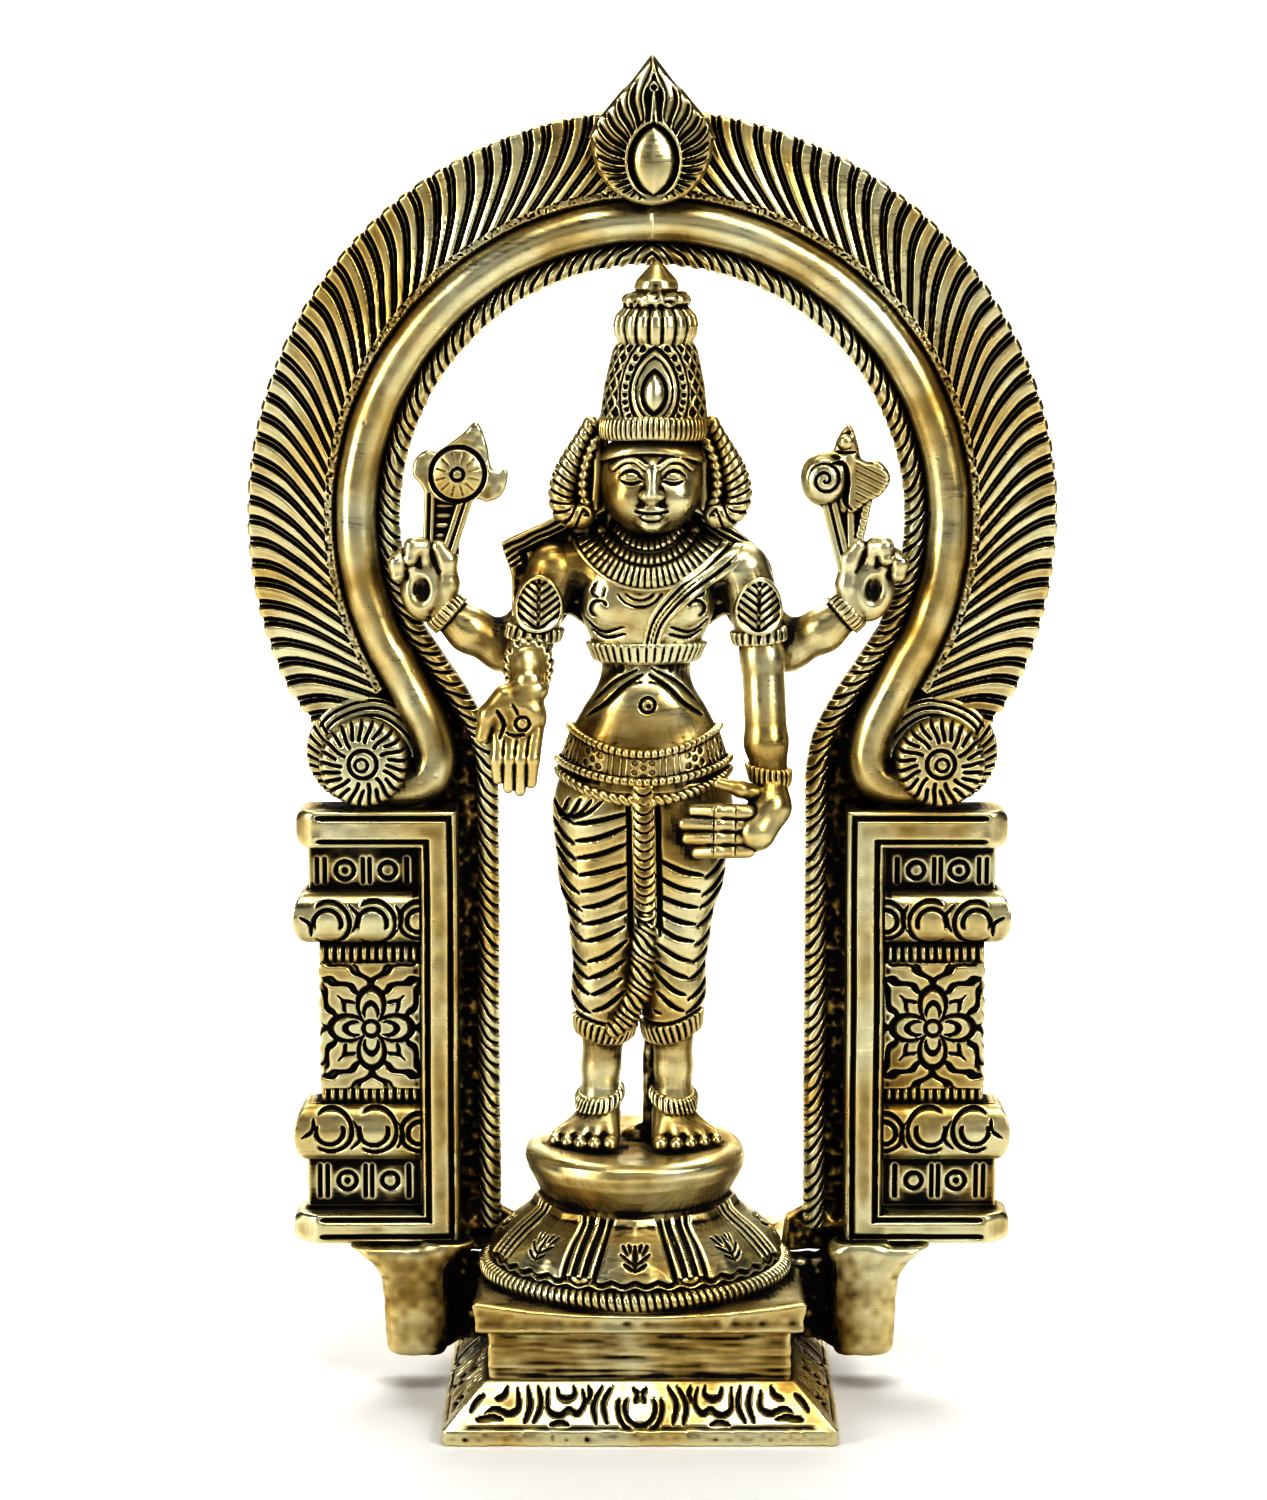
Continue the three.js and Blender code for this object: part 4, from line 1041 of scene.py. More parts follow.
def head():
    clay, x, y, z = new_clay((-12, -15.6, 181), (13, 9, 204.4), FINE)
    u = x - HEAD_AT[0]
    a = np.abs(u)
    clay.add(head_field(x, y, z))
    clay.add(ellipsoid(a, y, z, (4.6, -7.2, 189.6), (3.4, 3.0, 3.2)), 2.0)
    clay.add(ellipsoid(u, y, z, (0, -8.6, 184.4), (2.3, 2.0, 1.7)), 1.6)
    clay.cut(ellipsoid(a, y, z, (4.3, -12.2, 194.2), (3.1, 2.2, 1.7)), 1.4)
    clay.add(ellipsoid(a, y, z, (4.3, -8.9, 194.0), (2.5, 1.7, 1.55)), 0.3)
    brow = near_line(a, z, spline([(1.5, 196.2), (3.6, 197.6), (6.0, 197.4), (8.2, 195.8)]))[0]
    clay.dig(-0.55 * hill(brow, 0.75) * front(y, -4))
    nose = capsule(u, y, z, (0, -10.2, 196), (0, -12.1, 190.9), 0.9, 1.3)
    clay.add(nose, 1.4)
    clay.add(capsule(u, y, z, (0, -10.6, 190.2), (0, -10.2, 187.8), 1.5, 1.7), 1.4)
    clay.add(ellipsoid(a, y, z, (1.4, -11.1, 190.5), (1.0, 1.1, 0.9)), 0.8)
    clay.add(ellipsoid(u, y, z, (0, -11.0, 187.5), (2.9, 1.1, 0.75)), 0.8)
    clay.add(ellipsoid(u, y, z, (0, -10.7, 186.1), (2.2, 1.1, 0.8)), 0.4)
    marks = groove(a, z, [(0, 186.8), (1.6, 186.9), (3.1, 187.1)], 0.35, 0.6, taper=False)
    marks = marks + groove(a, z, [(1.9, 193.6), (3.4, 195.2), (5.2, 195.2), (7.0, 194.0)], 0.36, 0.6)
    marks = marks + groove(a, z, [(2.0, 193.4), (4.2, 192.7), (6.4, 193.3)], 0.36, 0.55)
    marks = marks + groove(a, z, [(2.4, 194.0), (4.3, 193.6), (6.2, 194.0)], 0.22, 0.25)
    clay.dig(marks * front(y, -4))
    band = np.abs(z - 200.2 + 0.02 * x**2)
    clay.dig(-0.9 * bulge(band, 1.5))
    clay.keep(z - 203.6)
    return clay


CROWN_AT = (0.5, -1.2)


def around_crown(x, y):
    return np.arctan2(x - CROWN_AT[0], -(y - CROWN_AT[1])), np.hypot(x - CROWN_AT[0], y - CROWN_AT[1])


def crown_band():
    clay, x, y, z = new_clay((-12.8, -14.4, 200.8), (13.6, 12.2, 207.6), FINE)
    turn, r = around_crown(x, y)
    rib = zigzag(turn * 11.6 / 1.2)
    up = z - 204.1 + 0.6 * ramp(0, 12, np.abs(x))
    swell = bulge(up, 2.7)
    clay.add((r - 10.4 - swell * (0.85 + 0.4 * ramp(0.1, 0.6, rib))) * 0.9)
    clay.keep(np.abs(up) - 2.5, 0.6)
    return clay


def crown_cone():
    clay, x, y, z = new_clay((-12.6, -14, 204.4), (13.4, 12, 221.4), FINE)
    turn, r = around_crown(x, y)
    radius = lookup(z, [205, 212, 219, 221], [10.7, 9.9, 8.4, 7.4])
    s = turn * 9.6
    v = z - 211.2
    almond = np.hypot(np.abs(s) + 1.6, v * 0.85) - 3.5
    boss = 1.2 * np.sqrt(np.clip(-almond / 2, 0, 1)) - 0.9 * hill(almond - 0.55, 0.45)
    inner = np.hypot(np.abs(s) + 1.8, (v - 0.6) * 0.8) - 6.0
    border = 0.6 * hill(inner, 0.5) - 0.7 * hill(inner - 0.9, 0.4)
    outer = np.hypot(np.abs(s) + 2.6, (v - 1.0) * 0.82) - 9.2
    fan = np.arctan2(np.abs(s), v + 2.0)
    comb = (fan * 4.1 - 0.2 * np.hypot(s, v)) % 1
    halo = ramp(0.2, -0.3, outer) * ramp(1.2, 1.7, inner)
    rim = 0.6 * hill(outer, 0.5) - 0.6 * hill(outer - 0.9, 0.45)
    grid = np.maximum(np.cos((s * 1.15 + z) * 1.7), np.cos((s * 1.15 - z) * 1.7))
    relief = boss + border + rim + halo * (0.7 * ramp(0.3, 0.75, comb) - 0.35)
    relief = relief + ramp(1.4, 1.9, outer) * (0.7 * ramp(0.3, 0.9, grid) - 0.3)
    clay.add((r - radius - relief) * 0.8)
    clay.keep(slab(z, 204.8, 221))
    return clay


def crown_bulb():
    clay, x, y, z = new_clay((-9.4, -11.2, 219.4), (10.6, 8.8, 232.4), FINE)
    turn, r = around_crown(x, y)
    flute = np.abs(np.cos(turn * 9))
    body = lookup(z, [219.8, 220.6, 222.4, 224.4, 226.4, 227.6, 228.4], [6.4, 7.6, 8.5, 8.8, 8.3, 7.2, 5.8])
    clay.add(np.maximum((r - body + 1.1 * (1 - flute) ** 2) * 0.9, slab(z, 220.0, 228.2)))
    lump = 0.35 * rough(turn * 6, z, 0, 0.7)
    clay.add(np.hypot(np.maximum(r - 5.2, 0), z - 229.3) - 1.6 + lump, 0.3)
    return clay


def crown_bud():
    clay, x, y, z = new_clay((-5.2, -7.2, 229.6), (6.4, 4.8, 240), FINE)
    _, r = around_crown(x, y)
    heights = [230.0, 230.8, 232.0, 233.4, 235, 236.6, 237.6, 238.6]
    body = lookup(z, heights, [3.2, 4.0, 4.6, 4.2, 2.7, 1.3, 0.1, -1.0])
    clay.add((r - body) * 0.8)
    clay.cut(ellipsoid(x, y, z, (0.2, -6.4, 232.4), (1.1, 1.0, 1.6)), 0.6)
    clay.keep(slab(z, 229.8, 237.8))
    return clay


def ear_pendant():
    clay, x, y, z = new_clay((7.4, -8, 181.6), (23, 2.8, 206.4), FINE)
    crescent = [(12.4, 204.6), (15.2, 199.6), (17.4, 194.2), (18.2, 189.4), (16.8, 186.2), (13.8, 185.8)]
    d, s, side, length = near_line(x, z, spline(crescent))
    wide = 1.5 + 1.25 * ramp(0.1, 0.6, s / length)
    rib = zigzag(s / 1.75 + 0.22 * d * side)
    worn = 0.2 + 0.3 * ramp(0.3, 0.6, s / length)
    clay.add((np.hypot(d, (y + 3.4) * 0.85) - wide + worn * (1 - ramp(0.1, 0.45, rib))) * 0.9)
    loop = near_line(x, z, spline([(11.6, 200.4), (13.4, 196.0), (13.8, 190.6), (12.4, 186.6)]))[0]
    clay.add(np.hypot(loop, (y + 4.0) * 0.9) - 1.05 - 0.15 * np.cos(z * 3.4), 0.2)
    lobe = near_line(x, z, spline([(11.0, 201.0), (10.8, 194.0), (11.2, 187.4)]))[0]
    clay.add(np.hypot(lobe, (y + 3.6) * 0.9) - 0.95, 0.3)
    low_edge = [(8.8, 186.5), (13, 184.6), (17, 185.4), (18.4, 189)]
    plate = outline(x, z, [*low_edge, (17, 195), (14.4, 201), (11, 204.6), (8.8, 203)])
    clay.add(smax(plate, slab(y, -1.6, 1.6), 0.5), 0.3)
    return clay


def shoulder_mantle(edge):
    """The stiff cloth standing up behind the shoulder, hatched along its top."""
    clay, x, y, z = new_clay((-1, 0, 156), (32, 7.4, 189), FINE)
    plan = outline(x, z, [*edge, (-1.5, 190), (-1.5, 160)])
    hatch = zigzag((0.5 * x + z) / 1.5 + 0.3 * rough(x, z, 0, 3))
    strip = ramp(-3.4, -2.8, plan) * ramp(174, 176, z)
    ragged = 0.4 * rough(x, z, 0, 1.3) * (1 - strip)
    clay.add(1.6 + strip * (0.7 * (1 - ramp(0.2, 0.7, hatch)) - 1.0) - ragged - y)
    clay.keep(y - 6.0)
    clay.keep(plan, 0.6)
    return clay


MANTLE_FOOT = [(10, 160), (16.5, 164.5), (22, 162)]
MANTLE_LEFT = [
    *MANTLE_FOOT, (27.2, 158.5), (26.8, 165), (26.2, 171.5), (24.6, 176.2), (20.2, 180.4),
    (14.6, 184.4), (10, 189),
]
MANTLE_RIGHT = [
    *MANTLE_FOOT, (27.8, 158.5), (28.0, 166), (28.2, 172.6), (30.2, 178.6), (29.6, 179.8),
    (21.6, 183.6), (14.6, 187.4), (10, 189),
]


def arm_field(x, y, z, left):
    upper = [(19.4, 0.2, 174.2, 5.6), (21.2, -0.2, 169.5, 5.0), (22.8, -1, 163, 4.6)]
    lower = [(24.0, -2.2, 156, 4.4), (25.1, -5.2, 139, 4.3), (26.2, -6.6, 132, 3.4)]
    bent = [(24.2, -2.6, 157.4, 4.4), (24.0, -8.6, 155.4, 4.0), (23.8, -12.2, 152.6, 3.4)]
    return chain(x, y, z, upper + (lower if left else bent), 1.6)


def arm(left):
    low = (12.6, -12, 127.6) if left else (12.6, -17, 147)
    clay, x, y, z = new_clay(low, (31.5, 7, 181.6))
    clay.add(arm_field(x, y, z, left))
    return clay


def armlet(left):
    top = 167.2 if left else 167.8
    clay, x, y, z = new_clay((14, -8.6, 156), (31, 6, 175), FINE)
    arm = arm_field(x, y, z, left)
    u, v = x - (22.9 if left else 22.2), z - top
    leaf = np.hypot(u * (1 + 0.035 * v), v * 0.85) - 5.1
    vein = zigzag((v - 0.75 * np.abs(u)) / 1.75)
    marks = ramp(0.55, 0.15, vein) * 0.8 * ramp(-0.6, -1.2, leaf)
    marks = marks + 0.8 * hill(u, 0.4) * ramp(-0.6, -1.4, leaf)
    rim = 0.5 * hill(leaf + 0.45, 0.5)
    pad = smax(arm - 1.0 + marks - rim, leaf, 0.4)
    clay.add(smax(pad, y + 0.6, 0.4))
    turn = np.arctan2(x - 23, -y)
    rib = zigzag(turn * 4.8 / 1.3)
    ring = np.abs(v + 6.6 - 0.1 * u) - 1.5
    clay.add(smax(arm - 0.75 - 0.4 * ramp(0.1, 0.6, rib), ring, 0.7), 0.3)
    clay.cut(arm + 0.9)
    return clay


def bracelet(left):
    if left:
        clay, x, y, z = new_clay((19, -13, 127.6), (32, 0, 137), FINE)
        ring = np.abs(z - 132.3 + 0.12 * (x - 26)) - 1.9
        turn = np.arctan2(x - 26, -(y + 6.6))
    else:
        clay, x, y, z = new_clay((17, -15.6, 146.6), (31, -7, 161), FINE)
        ring = np.abs(y + 10.9 - 0.35 * (z - 153)) - 1.5
        turn = np.arctan2(x - 24, z - 153)
    arm = arm_field(x, y, z, left)
    rib = zigzag(turn * 4.4 / 1.3)
    clay.add(smax(arm - 0.6 - 0.5 * ramp(0.1, 0.6, rib), ring, 0.6))
    clay.cut(arm + 0.9)
    return clay


def left_hand():
    clay, x, y, z = new_clay((5, -18, 112), (33, -4, 136))
    palm = [(26.4, -7.4, 131.0, 3.2), (26.2, -9.4, 126.2, 4.1), (23.2, -11.4, 121.6, 4.4)]
    clay.add(chain(x, y, z, palm, 1.5))
    tips = ((10.6, 126.0), (8.6, 123.2), (9.4, 120.2), (11.4, 117.2))
    for i, (tx, tz) in enumerate(tips):
        start = (21.6, -13.0, 125.6 - 2.6 * i)
        mid = (15.6, -13.8, (start[2] + tz) / 2 + 0.3)
        clay.add(chain(x, y, z, [(*start, 1.7), (*mid, 1.55), (tx, -12.0, tz, 1.35)], 0.5), 0.2)
        for at in (19.2, 14.6):
            crease = hill(x - at, 0.25) * hill(z - mid[2], 1.2)
            clay.dig(0.4 * crease * front(y, -13))
    thumb = [(24.6, -9.4, 128.6, 2.1), (20, -11.6, 130.2, 1.6), (15.4, -12.4, 131.6, 1.15)]
    clay.add(chain(x, y, z, thumb, 0.8), 0.6)
    return clay


def right_hand():
    clay, x, y, z = new_clay((17.4, -20, 127.6), (36.6, -8, 156))
    clay.add(ellipsoid(x, y, z, (26.2, -14.2, 145.6), (6.3, 2.9, 6.2)))
    clay.add(ellipsoid(x, y, z, (24.0, -12.8, 151.0), (4.4, 3.0, 3.0)), 1.5)
    tips = ((29.6, 133.0), (27.4, 131.2), (25.0, 130.6), (22.8, 132.2))
    for i, (tx, tz) in enumerate(tips):
        start = (29.6 - 2.5 * i, -14.6, 143.0)
        mid = ((start[0] + tx) / 2 + 0.2, -16.0, 137.2)
        clay.add(chain(x, y, z, [(*start, 1.7), (*mid, 1.55), (tx, -15.4, tz, 1.15)], 0.5), 0.12)
    thumb = [(28.6, -14, 149.6, 2.6), (31.8, -14.8, 146.0, 2.2), (33.0, -15.4, 141.8, 1.5)]
    clay.add(chain(x, y, z, thumb, 1.0), 0.8)
    clay.cut(ellipsoid(x, y, z, (26.4, -17.6, 144.0), (4.4, 1.9, 3.6)), 1.2)
    palm = ring_groove(x, z, (24.8, 144.4), 1.4, 0.42, 0.6)
    palm = palm + groove(x, z, [(30.2, 147.6), (28.6, 144.4), (29.4, 141.4)], 0.5, 0.8)
    creases = [(28.6, 142.8), (26.6, 142.0), (24.0, 142.2)], [(27.0, 148.8), (26.0, 147.0), (25.6, 145.8)]
    palm = grooves(x, z, 0.4, 0.5, creases, palm)
    clay.dig(palm * front(y, -14))
    return clay


def rear_arm():
    clay, x, y, z = new_clay((8, -4, 151), (47, 10, 181))
    knots = [(13, 4, 175.6, 4.0), (22, 4.4, 165, 4.5), (29.4, 3.6, 157.6, 4.7), (36.6, 2.0, 161.4, 4.3)]
    arm = chain(x, y, z, [*knots, (41.4, 0.8, 165.2, 3.6)], 2.4)
    clay.add(arm)
    u, v = x - 41.6, z - 165.2
    n = u * 0.75 + v * 0.66
    cuff = np.abs(n) - 1.6
    turn = np.arctan2(y - 0.8, u * -0.66 + v * 0.75)
    rib = zigzag(turn * 3.8 / 1.1)
    clay.add(smax(np.maximum(arm, n - 3) - 0.7 - 0.35 * ramp(0.1, 0.6, rib), cuff, 0.5), 0.2)
    return clay


def rear_hand():
    clay, x, y, z = new_clay((37, -6, 160), (55, 5, 184), FINE)
    clay.add(ellipsoid(x, y, z, (45.4, 0, 170.4), (5.6, 3.4, 7.1)))
    thumb = [(42.6, 0, 165.6, 2.9), (41.3, -0.6, 171, 2.5), (41.4, -1.2, 176.2, 2.1), (43.2, -1.6, 179, 1.7)]
    index = [(45.8, -0.6, 175.6, 2.1), (46.6, -1.8, 179, 1.9), (48.4, -2.8, 179.2, 1.7), (48.8, -3.2, 176.8, 1.5)]
    middle = [(48, -0.6, 174, 2.2), (50.2, -1.8, 176.8, 1.9), (51.6, -2.8, 175.8, 1.7), (51.4, -3, 173.4, 1.5)]
    for finger in (thumb, index, middle):
        clay.add(chain(x, y, z, finger, 1.0), 0.5)
    clay.cut(ellipsoid(x, y, z, (46.8, -4.0, 170.2), (2.4, 2.3, 3.6)), 0.8)
    return clay


def ribbon(x, y, z, a, b, wide, cuts=1):
    d, _, side, _ = near_line(x, z, np.array([a, b], float))
    n = d * side
    marks = 0.5 * hill(n, 0.4) * cuts
    return smax(d - wide, slab(y, -2.4, 1.4) + marks * (y < 0), 0.6)


DISCUS = [
    (6.4, 2.6), (5.8, 6.2), (3.7, 10.6), (0.8, 8.2), (-2.6, 5.6), (-4.9, 4.4), (-6.6, 4.8),
    (-8.9, 2.8), (-9.2, -0.2), (-7.6, -2.2), (-6.4, -4.2), (-3.4, -5.6), (1.0, -6.2), (4.0, -5.2),
    (6.0, -5.8), (8.8, -4.6), (10.1, -1.8), (10.0, 1.0), (8.4, 0.5), (7.0, 1.0),
]


def discus():
    """Held in the figure's right rear hand: seen from the front, (u, v) run right and up from the disc."""
    clay, x, y, z = new_clay((28, -5, 174.6), (51, 3, 206), FINE)
    u, v = 39.5 - x, z - 194.0
    r = np.hypot(u, v)
    clay.add(smax(outline(u, v, DISCUS) * 0.95, slab(y, -2.2 + 0.12 * rough(u, v, 0, 1.2), 1.0), 0.9))
    clay.add(smax(r - 5.5, slab(y, -3.7 + 0.045 * r**2, 1.0), 0.3), 0.1)
    clay.add(ribbon(x, y, z, (45.4, 176.4), (45.2, 190), 1.1), 0.2)
    clay.add(ribbon(x, y, z, (41.4, 177.0), (37.8, 189), 1.5), 0.2)
    ribs = 0.35 * np.cos(z * 3.0)
    clay.add(smax(slab(x, 39, 45.6), smax(slab(z, 176.4, 188.6), slab(y, -0.6 + ribs, 1.2), 0.3), 0.3), 0.3)
    marks = ring_groove(u, v, (0, 0), 5.55, 0.5, 0.9) + ring_groove(u, v, (0, 0), 1.25, 0.4, 0.8)
    off_spoke = np.abs((np.degrees(np.arctan2(u, v)) / 30) % 1 - 0.5) * 2
    spokes = np.clip(1 - (off_spoke * r * 0.26 / 0.25) ** 2, 0, 1)
    clay.dig((marks + 0.13 * spokes * ramp(2, 2.6, r) * ramp(5, 4.4, r)) * front(y, -1.2))
    return clay


CONCH = [
    (2.7, 4.4), (2.5, 7.6), (0.8, 11.0), (-1.5, 8.2), (-2.4, 5.6), (-5.6, 5.2), (-8.3, 2.6), (-8.5, -1.6),
    (-6.6, -4.6), (-3.4, -6.0), (1.6, -7.2), (5.2, -4.8), (8.0, -3.2), (9.6, 0.2), (7.4, 3.4), (5.0, 3.4),
]


def conch():
    """Held in the figure's left rear hand: a spiral shell with a pointed top and a fan at its right."""
    clay, x, y, z = new_clay((28.4, -6.8, 173.6), (51.4, 3, 206.4), FINE)
    u, v = x - 39.6, z - 193.0
    plan = outline(u, v, CONCH)
    clay.add(smax(plan * 0.95, slab(y, -1.9, 1.0), 0.9))
    clay.add(ellipsoid(u, y, v, (-3.9, -1.4, -0.2), (4.5, 3.4, 5.2)), 0.8)
    clay.add(ellipsoid(u, y, v, (1.0, -1.2, 3.4), (2.2, 2.2, 4.2)), 1.0)
    clay.add(ellipsoid(u, y, v, (0.2, -2.3, 7.6), (1.6, 1.5, 1.6)), 0.2)
    clay.add(smax(plan + 0.2, smax(-u + 1.0, slab(y, -3.0, 1.0), 0.6), 0.8), 0.3)
    clay.add(ribbon(x, y, z, (40.6, 174.6), (36.6, 189), 1.6), 0.2)
    clay.add(ribbon(x, y, z, (41.8, 177.0), (41.2, 187.4), 0.8, 0), 0.1)
    clay.add(ribbon(x, y, z, (42.8, 178.0), (45.0, 190), 0.9, 0), 0.1)
    clay.add(smax(slab(x, 38.5, 44.2), smax(slab(z, 177.6, 189), slab(y, -0.6, 1.2), 0.3), 0.3), 0.3)
    cu, cv = u + 3.9, v
    r, turn = np.hypot(cu, cv), np.arctan2(cv, cu)
    coil = np.abs((r / 1.9 - turn / (2 * math.pi)) % 1 - 0.5)
    marks = 0.9 * hill(coil, 0.2) * ramp(3.8, 3.0, r)
    marks = marks + groove(u, v, [(-3.0, 3.2), (0.0, 3.0), (0.8, -1.0), (0.4, -4.6), (2.0, -6.4)], 0.55, 1.1)
    marks = marks + groove(u, v, [(-2.0, 5.6), (0.2, 5.4), (2.4, 5.6)], 0.4, 0.8)
    hatch = np.clip(np.cos((u * 0.5 + v) * 4.2), 0, 1) ** 6 * 0.22 * ramp(2.0, 2.8, u)
    clay.dig((marks + hatch) * front(y, -1.2))
    return clay


def back_prop():
    """The thin rough prop of casting metal that shows between the ankles."""
    clay, x, y, z = new_clay((-5, -1, 52.6), (7, 7, 84), STEP)
    clay.add(capsule(x, y, z, (3.0, 3.0, 53), (2.2, 3.4, 83), 1.5, 1.1) + 0.25 * rough(x, z, y, 1.6))
    clay.add(ellipsoid(x, y, z, (1.4, 3.2, 53.4), (4.4, 2.2, 2.6)) + 0.3 * rough(x, z, y, 1.4), 1.0)
    clay.keep(53.1 - z)
    return clay


# ---- the pieces ----
cast_pair(feather_band)
cast_pair(rosette)
cast("tail_leaf_left", tail_leaf(), [])
cast("tail_leaf_right", tail_leaf(), [], mirror=True)
cast_pair(roll_moulding)
cast_pair(rope_moulding, soot=rope_soot)
# The web behind the mouldings is painted as shade: full extra darkening and a darker copy of the brass.
cast_pair(back_web, soot=1.0, tone="shaded_brass")
cast_one(finial_leaf)
cast_pair(leg_frame)
cast_pair(pilaster, soot=pilaster_soot)
for make in (plinth_foot, plinth_neck, plinth_slab):
    cast_one(make, place=on_plinth)
for make in (rope_rim, lotus_dome, foot_drum):
    cast_one(make, place=on_seat)
for side, shift in (("left", BRAZE_SHIFT), ("right", -BRAZE_SHIFT)):
    name = f"arch_boss_visual_{side}"
    cast(name, arch_boss(shift), [f"arch_boss_{side}"], place=on_plinth, mirror=shift < 0, soot=boss_soot)
for make in (fixing_stud, fixing_washer, fixing_nut):
    cast_one(make, place=on_seat, tone="steel")

for make in (torso, sash, necklace, chest_band, waist_belt, dhoti, dhoti_pleat):
    cast_one(make, place=lean)
for make in (foot, anklet):
    cast_pair(make, place=lean)
for make in (head, crown_band, crown_cone, crown_bulb, crown_bud):
    cast_one(make, place=lean)
cast_pair(ear_pendant, place=lean)
# The mantles stand behind the shoulders; their extra darkening is painted shade.
cast("shoulder_mantle_left", shoulder_mantle(MANTLE_LEFT), [], place=lean, soot=0.35)
cast("shoulder_mantle_right", shoulder_mantle(MANTLE_RIGHT), [], place=lean, mirror=True, soot=0.35)
for left in (True, False):
    hand = left_hand if left else right_hand
    worn = {"arm": arm(left), "armlet": armlet(left), "bracelet": bracelet(left), "hand": hand()}
    for part, clay in worn.items():
        name = f"{'left' if left else 'right'}_{part}"
        cast(name + "_visual", clay, [name], place=lean, mirror=not left)
for part, make in (("arm", rear_arm), ("hand", rear_hand)):
    for side in ("left", "right"):
        name = f"rear_{side}_{part}"
        cast(name + "_visual", make(), [name], place=lean, mirror=side == "right")
cast_one(discus, place=lean, mirror=True)
cast_one(conch, place=lean)
# The prop's extra darkening is painted shade: it stands in the shadow between the legs.
cast("back_prop_visual", back_prop(), [], place=lean, soot=0.9)


# ---- shade: how closed in each point is by the metal around it, plus each piece's extra shade; both are painted into the colour as shade ----
def shade_all():
    cell = 1.0
    low = np.array([-90.0, -50.0, -8.0])
    size = np.array([180, 100, 296])
    density = np.zeros(size.prod())
    for _, points, _, step, _ in CASTS:
        i = np.clip(((points - low) / cell).astype(int), 0, size - 1)
        flat = (i[:, 0] * size[1] + i[:, 1]) * size[2] + i[:, 2]
        density += np.bincount(flat, minlength=size.prod()) * step**2
    density = density.reshape(size)

    def blurred(reach):
        out = density
        for axis in range(3):
            margins = [(reach + 1, reach) if a == axis else (0, 0) for a in range(3)]
            total = np.cumsum(np.pad(out, margins), axis)
            n = size[axis]
            width = 2 * reach + 1
            hi = np.take(total, np.arange(width, n + width), axis)
            lo = np.take(total, np.arange(0, n), axis)
            out = (hi - lo) / width
        return out

    near, far = blurred(1), blurred(4)
    for piece, points, normals, _, soot in CASTS:

        def sample(field, reach):
            i = np.clip(((points + normals * reach - low) / cell).astype(int), 0, size - 1)
            return field[i[:, 0], i[:, 1], i[:, 2]]

        shade = 0.5 * np.clip(sample(near, 2.3) / 0.3, 0, 1) + 0.7 * np.clip(sample(far, 5.6) / 0.11, 0, 1)
        data = piece.data.attributes.new("shade", "FLOAT", "POINT").data
        data.foreach_set("value", np.clip(shade + soot, 0, 2))


shade_all()


# ---- materials ----
class Nodes:
    """Short way to write a node tree."""

    def __init__(self, name):
        self.material = bpy.data.materials.new(name)
        self.material.use_nodes = True
        self.tree = self.material.node_tree
        self.shader = self.tree.nodes["Principled BSDF"]

    def new(self, kind, inputs=None, **settings):
        node = self.tree.nodes.new(kind)
        for key, value in settings.items():
            setattr(node, key, value)
        for key, value in (inputs or {}).items():
            if isinstance(value, bpy.types.NodeSocket):
                self.tree.links.new(value, node.inputs[key])
            else:
                node.inputs[key].default_value = value
        return node

    def math(self, operation, a, b=0.0, clamp=False):
        return self.new("ShaderNodeMath", {0: a, 1: b}, operation=operation, use_clamp=clamp).outputs[0]

    def noise(self, vector, scale, detail=3.0):
        return self.new("ShaderNodeTexNoise", {"Vector": vector, "Scale": scale, "Detail": detail}).outputs[0]

    def span(self, value, low, high, to_low=0.0, to_high=1.0):
        inputs = {"Value": value, "From Min": low, "From Max": high, "To Min": to_low, "To Max": to_high}
        return self.new("ShaderNodeMapRange", inputs, interpolation_type="SMOOTHSTEP").outputs[0]

    def blend(self, share, a, b):
        node = self.new("ShaderNodeMix", {0: share}, data_type="RGBA")
        for slot, value in ((6, a), (7, b)):
            if isinstance(value, bpy.types.NodeSocket):
                self.tree.links.new(value, node.inputs[slot])
            else:
                node.inputs[slot].default_value = (*value, 1)
        return node.outputs[2]


BUMP_HEIGHT = 0.0001  # metres
SMOOTHEST, ROUGHEST = 0.24, 0.42  # roughness of clean metal


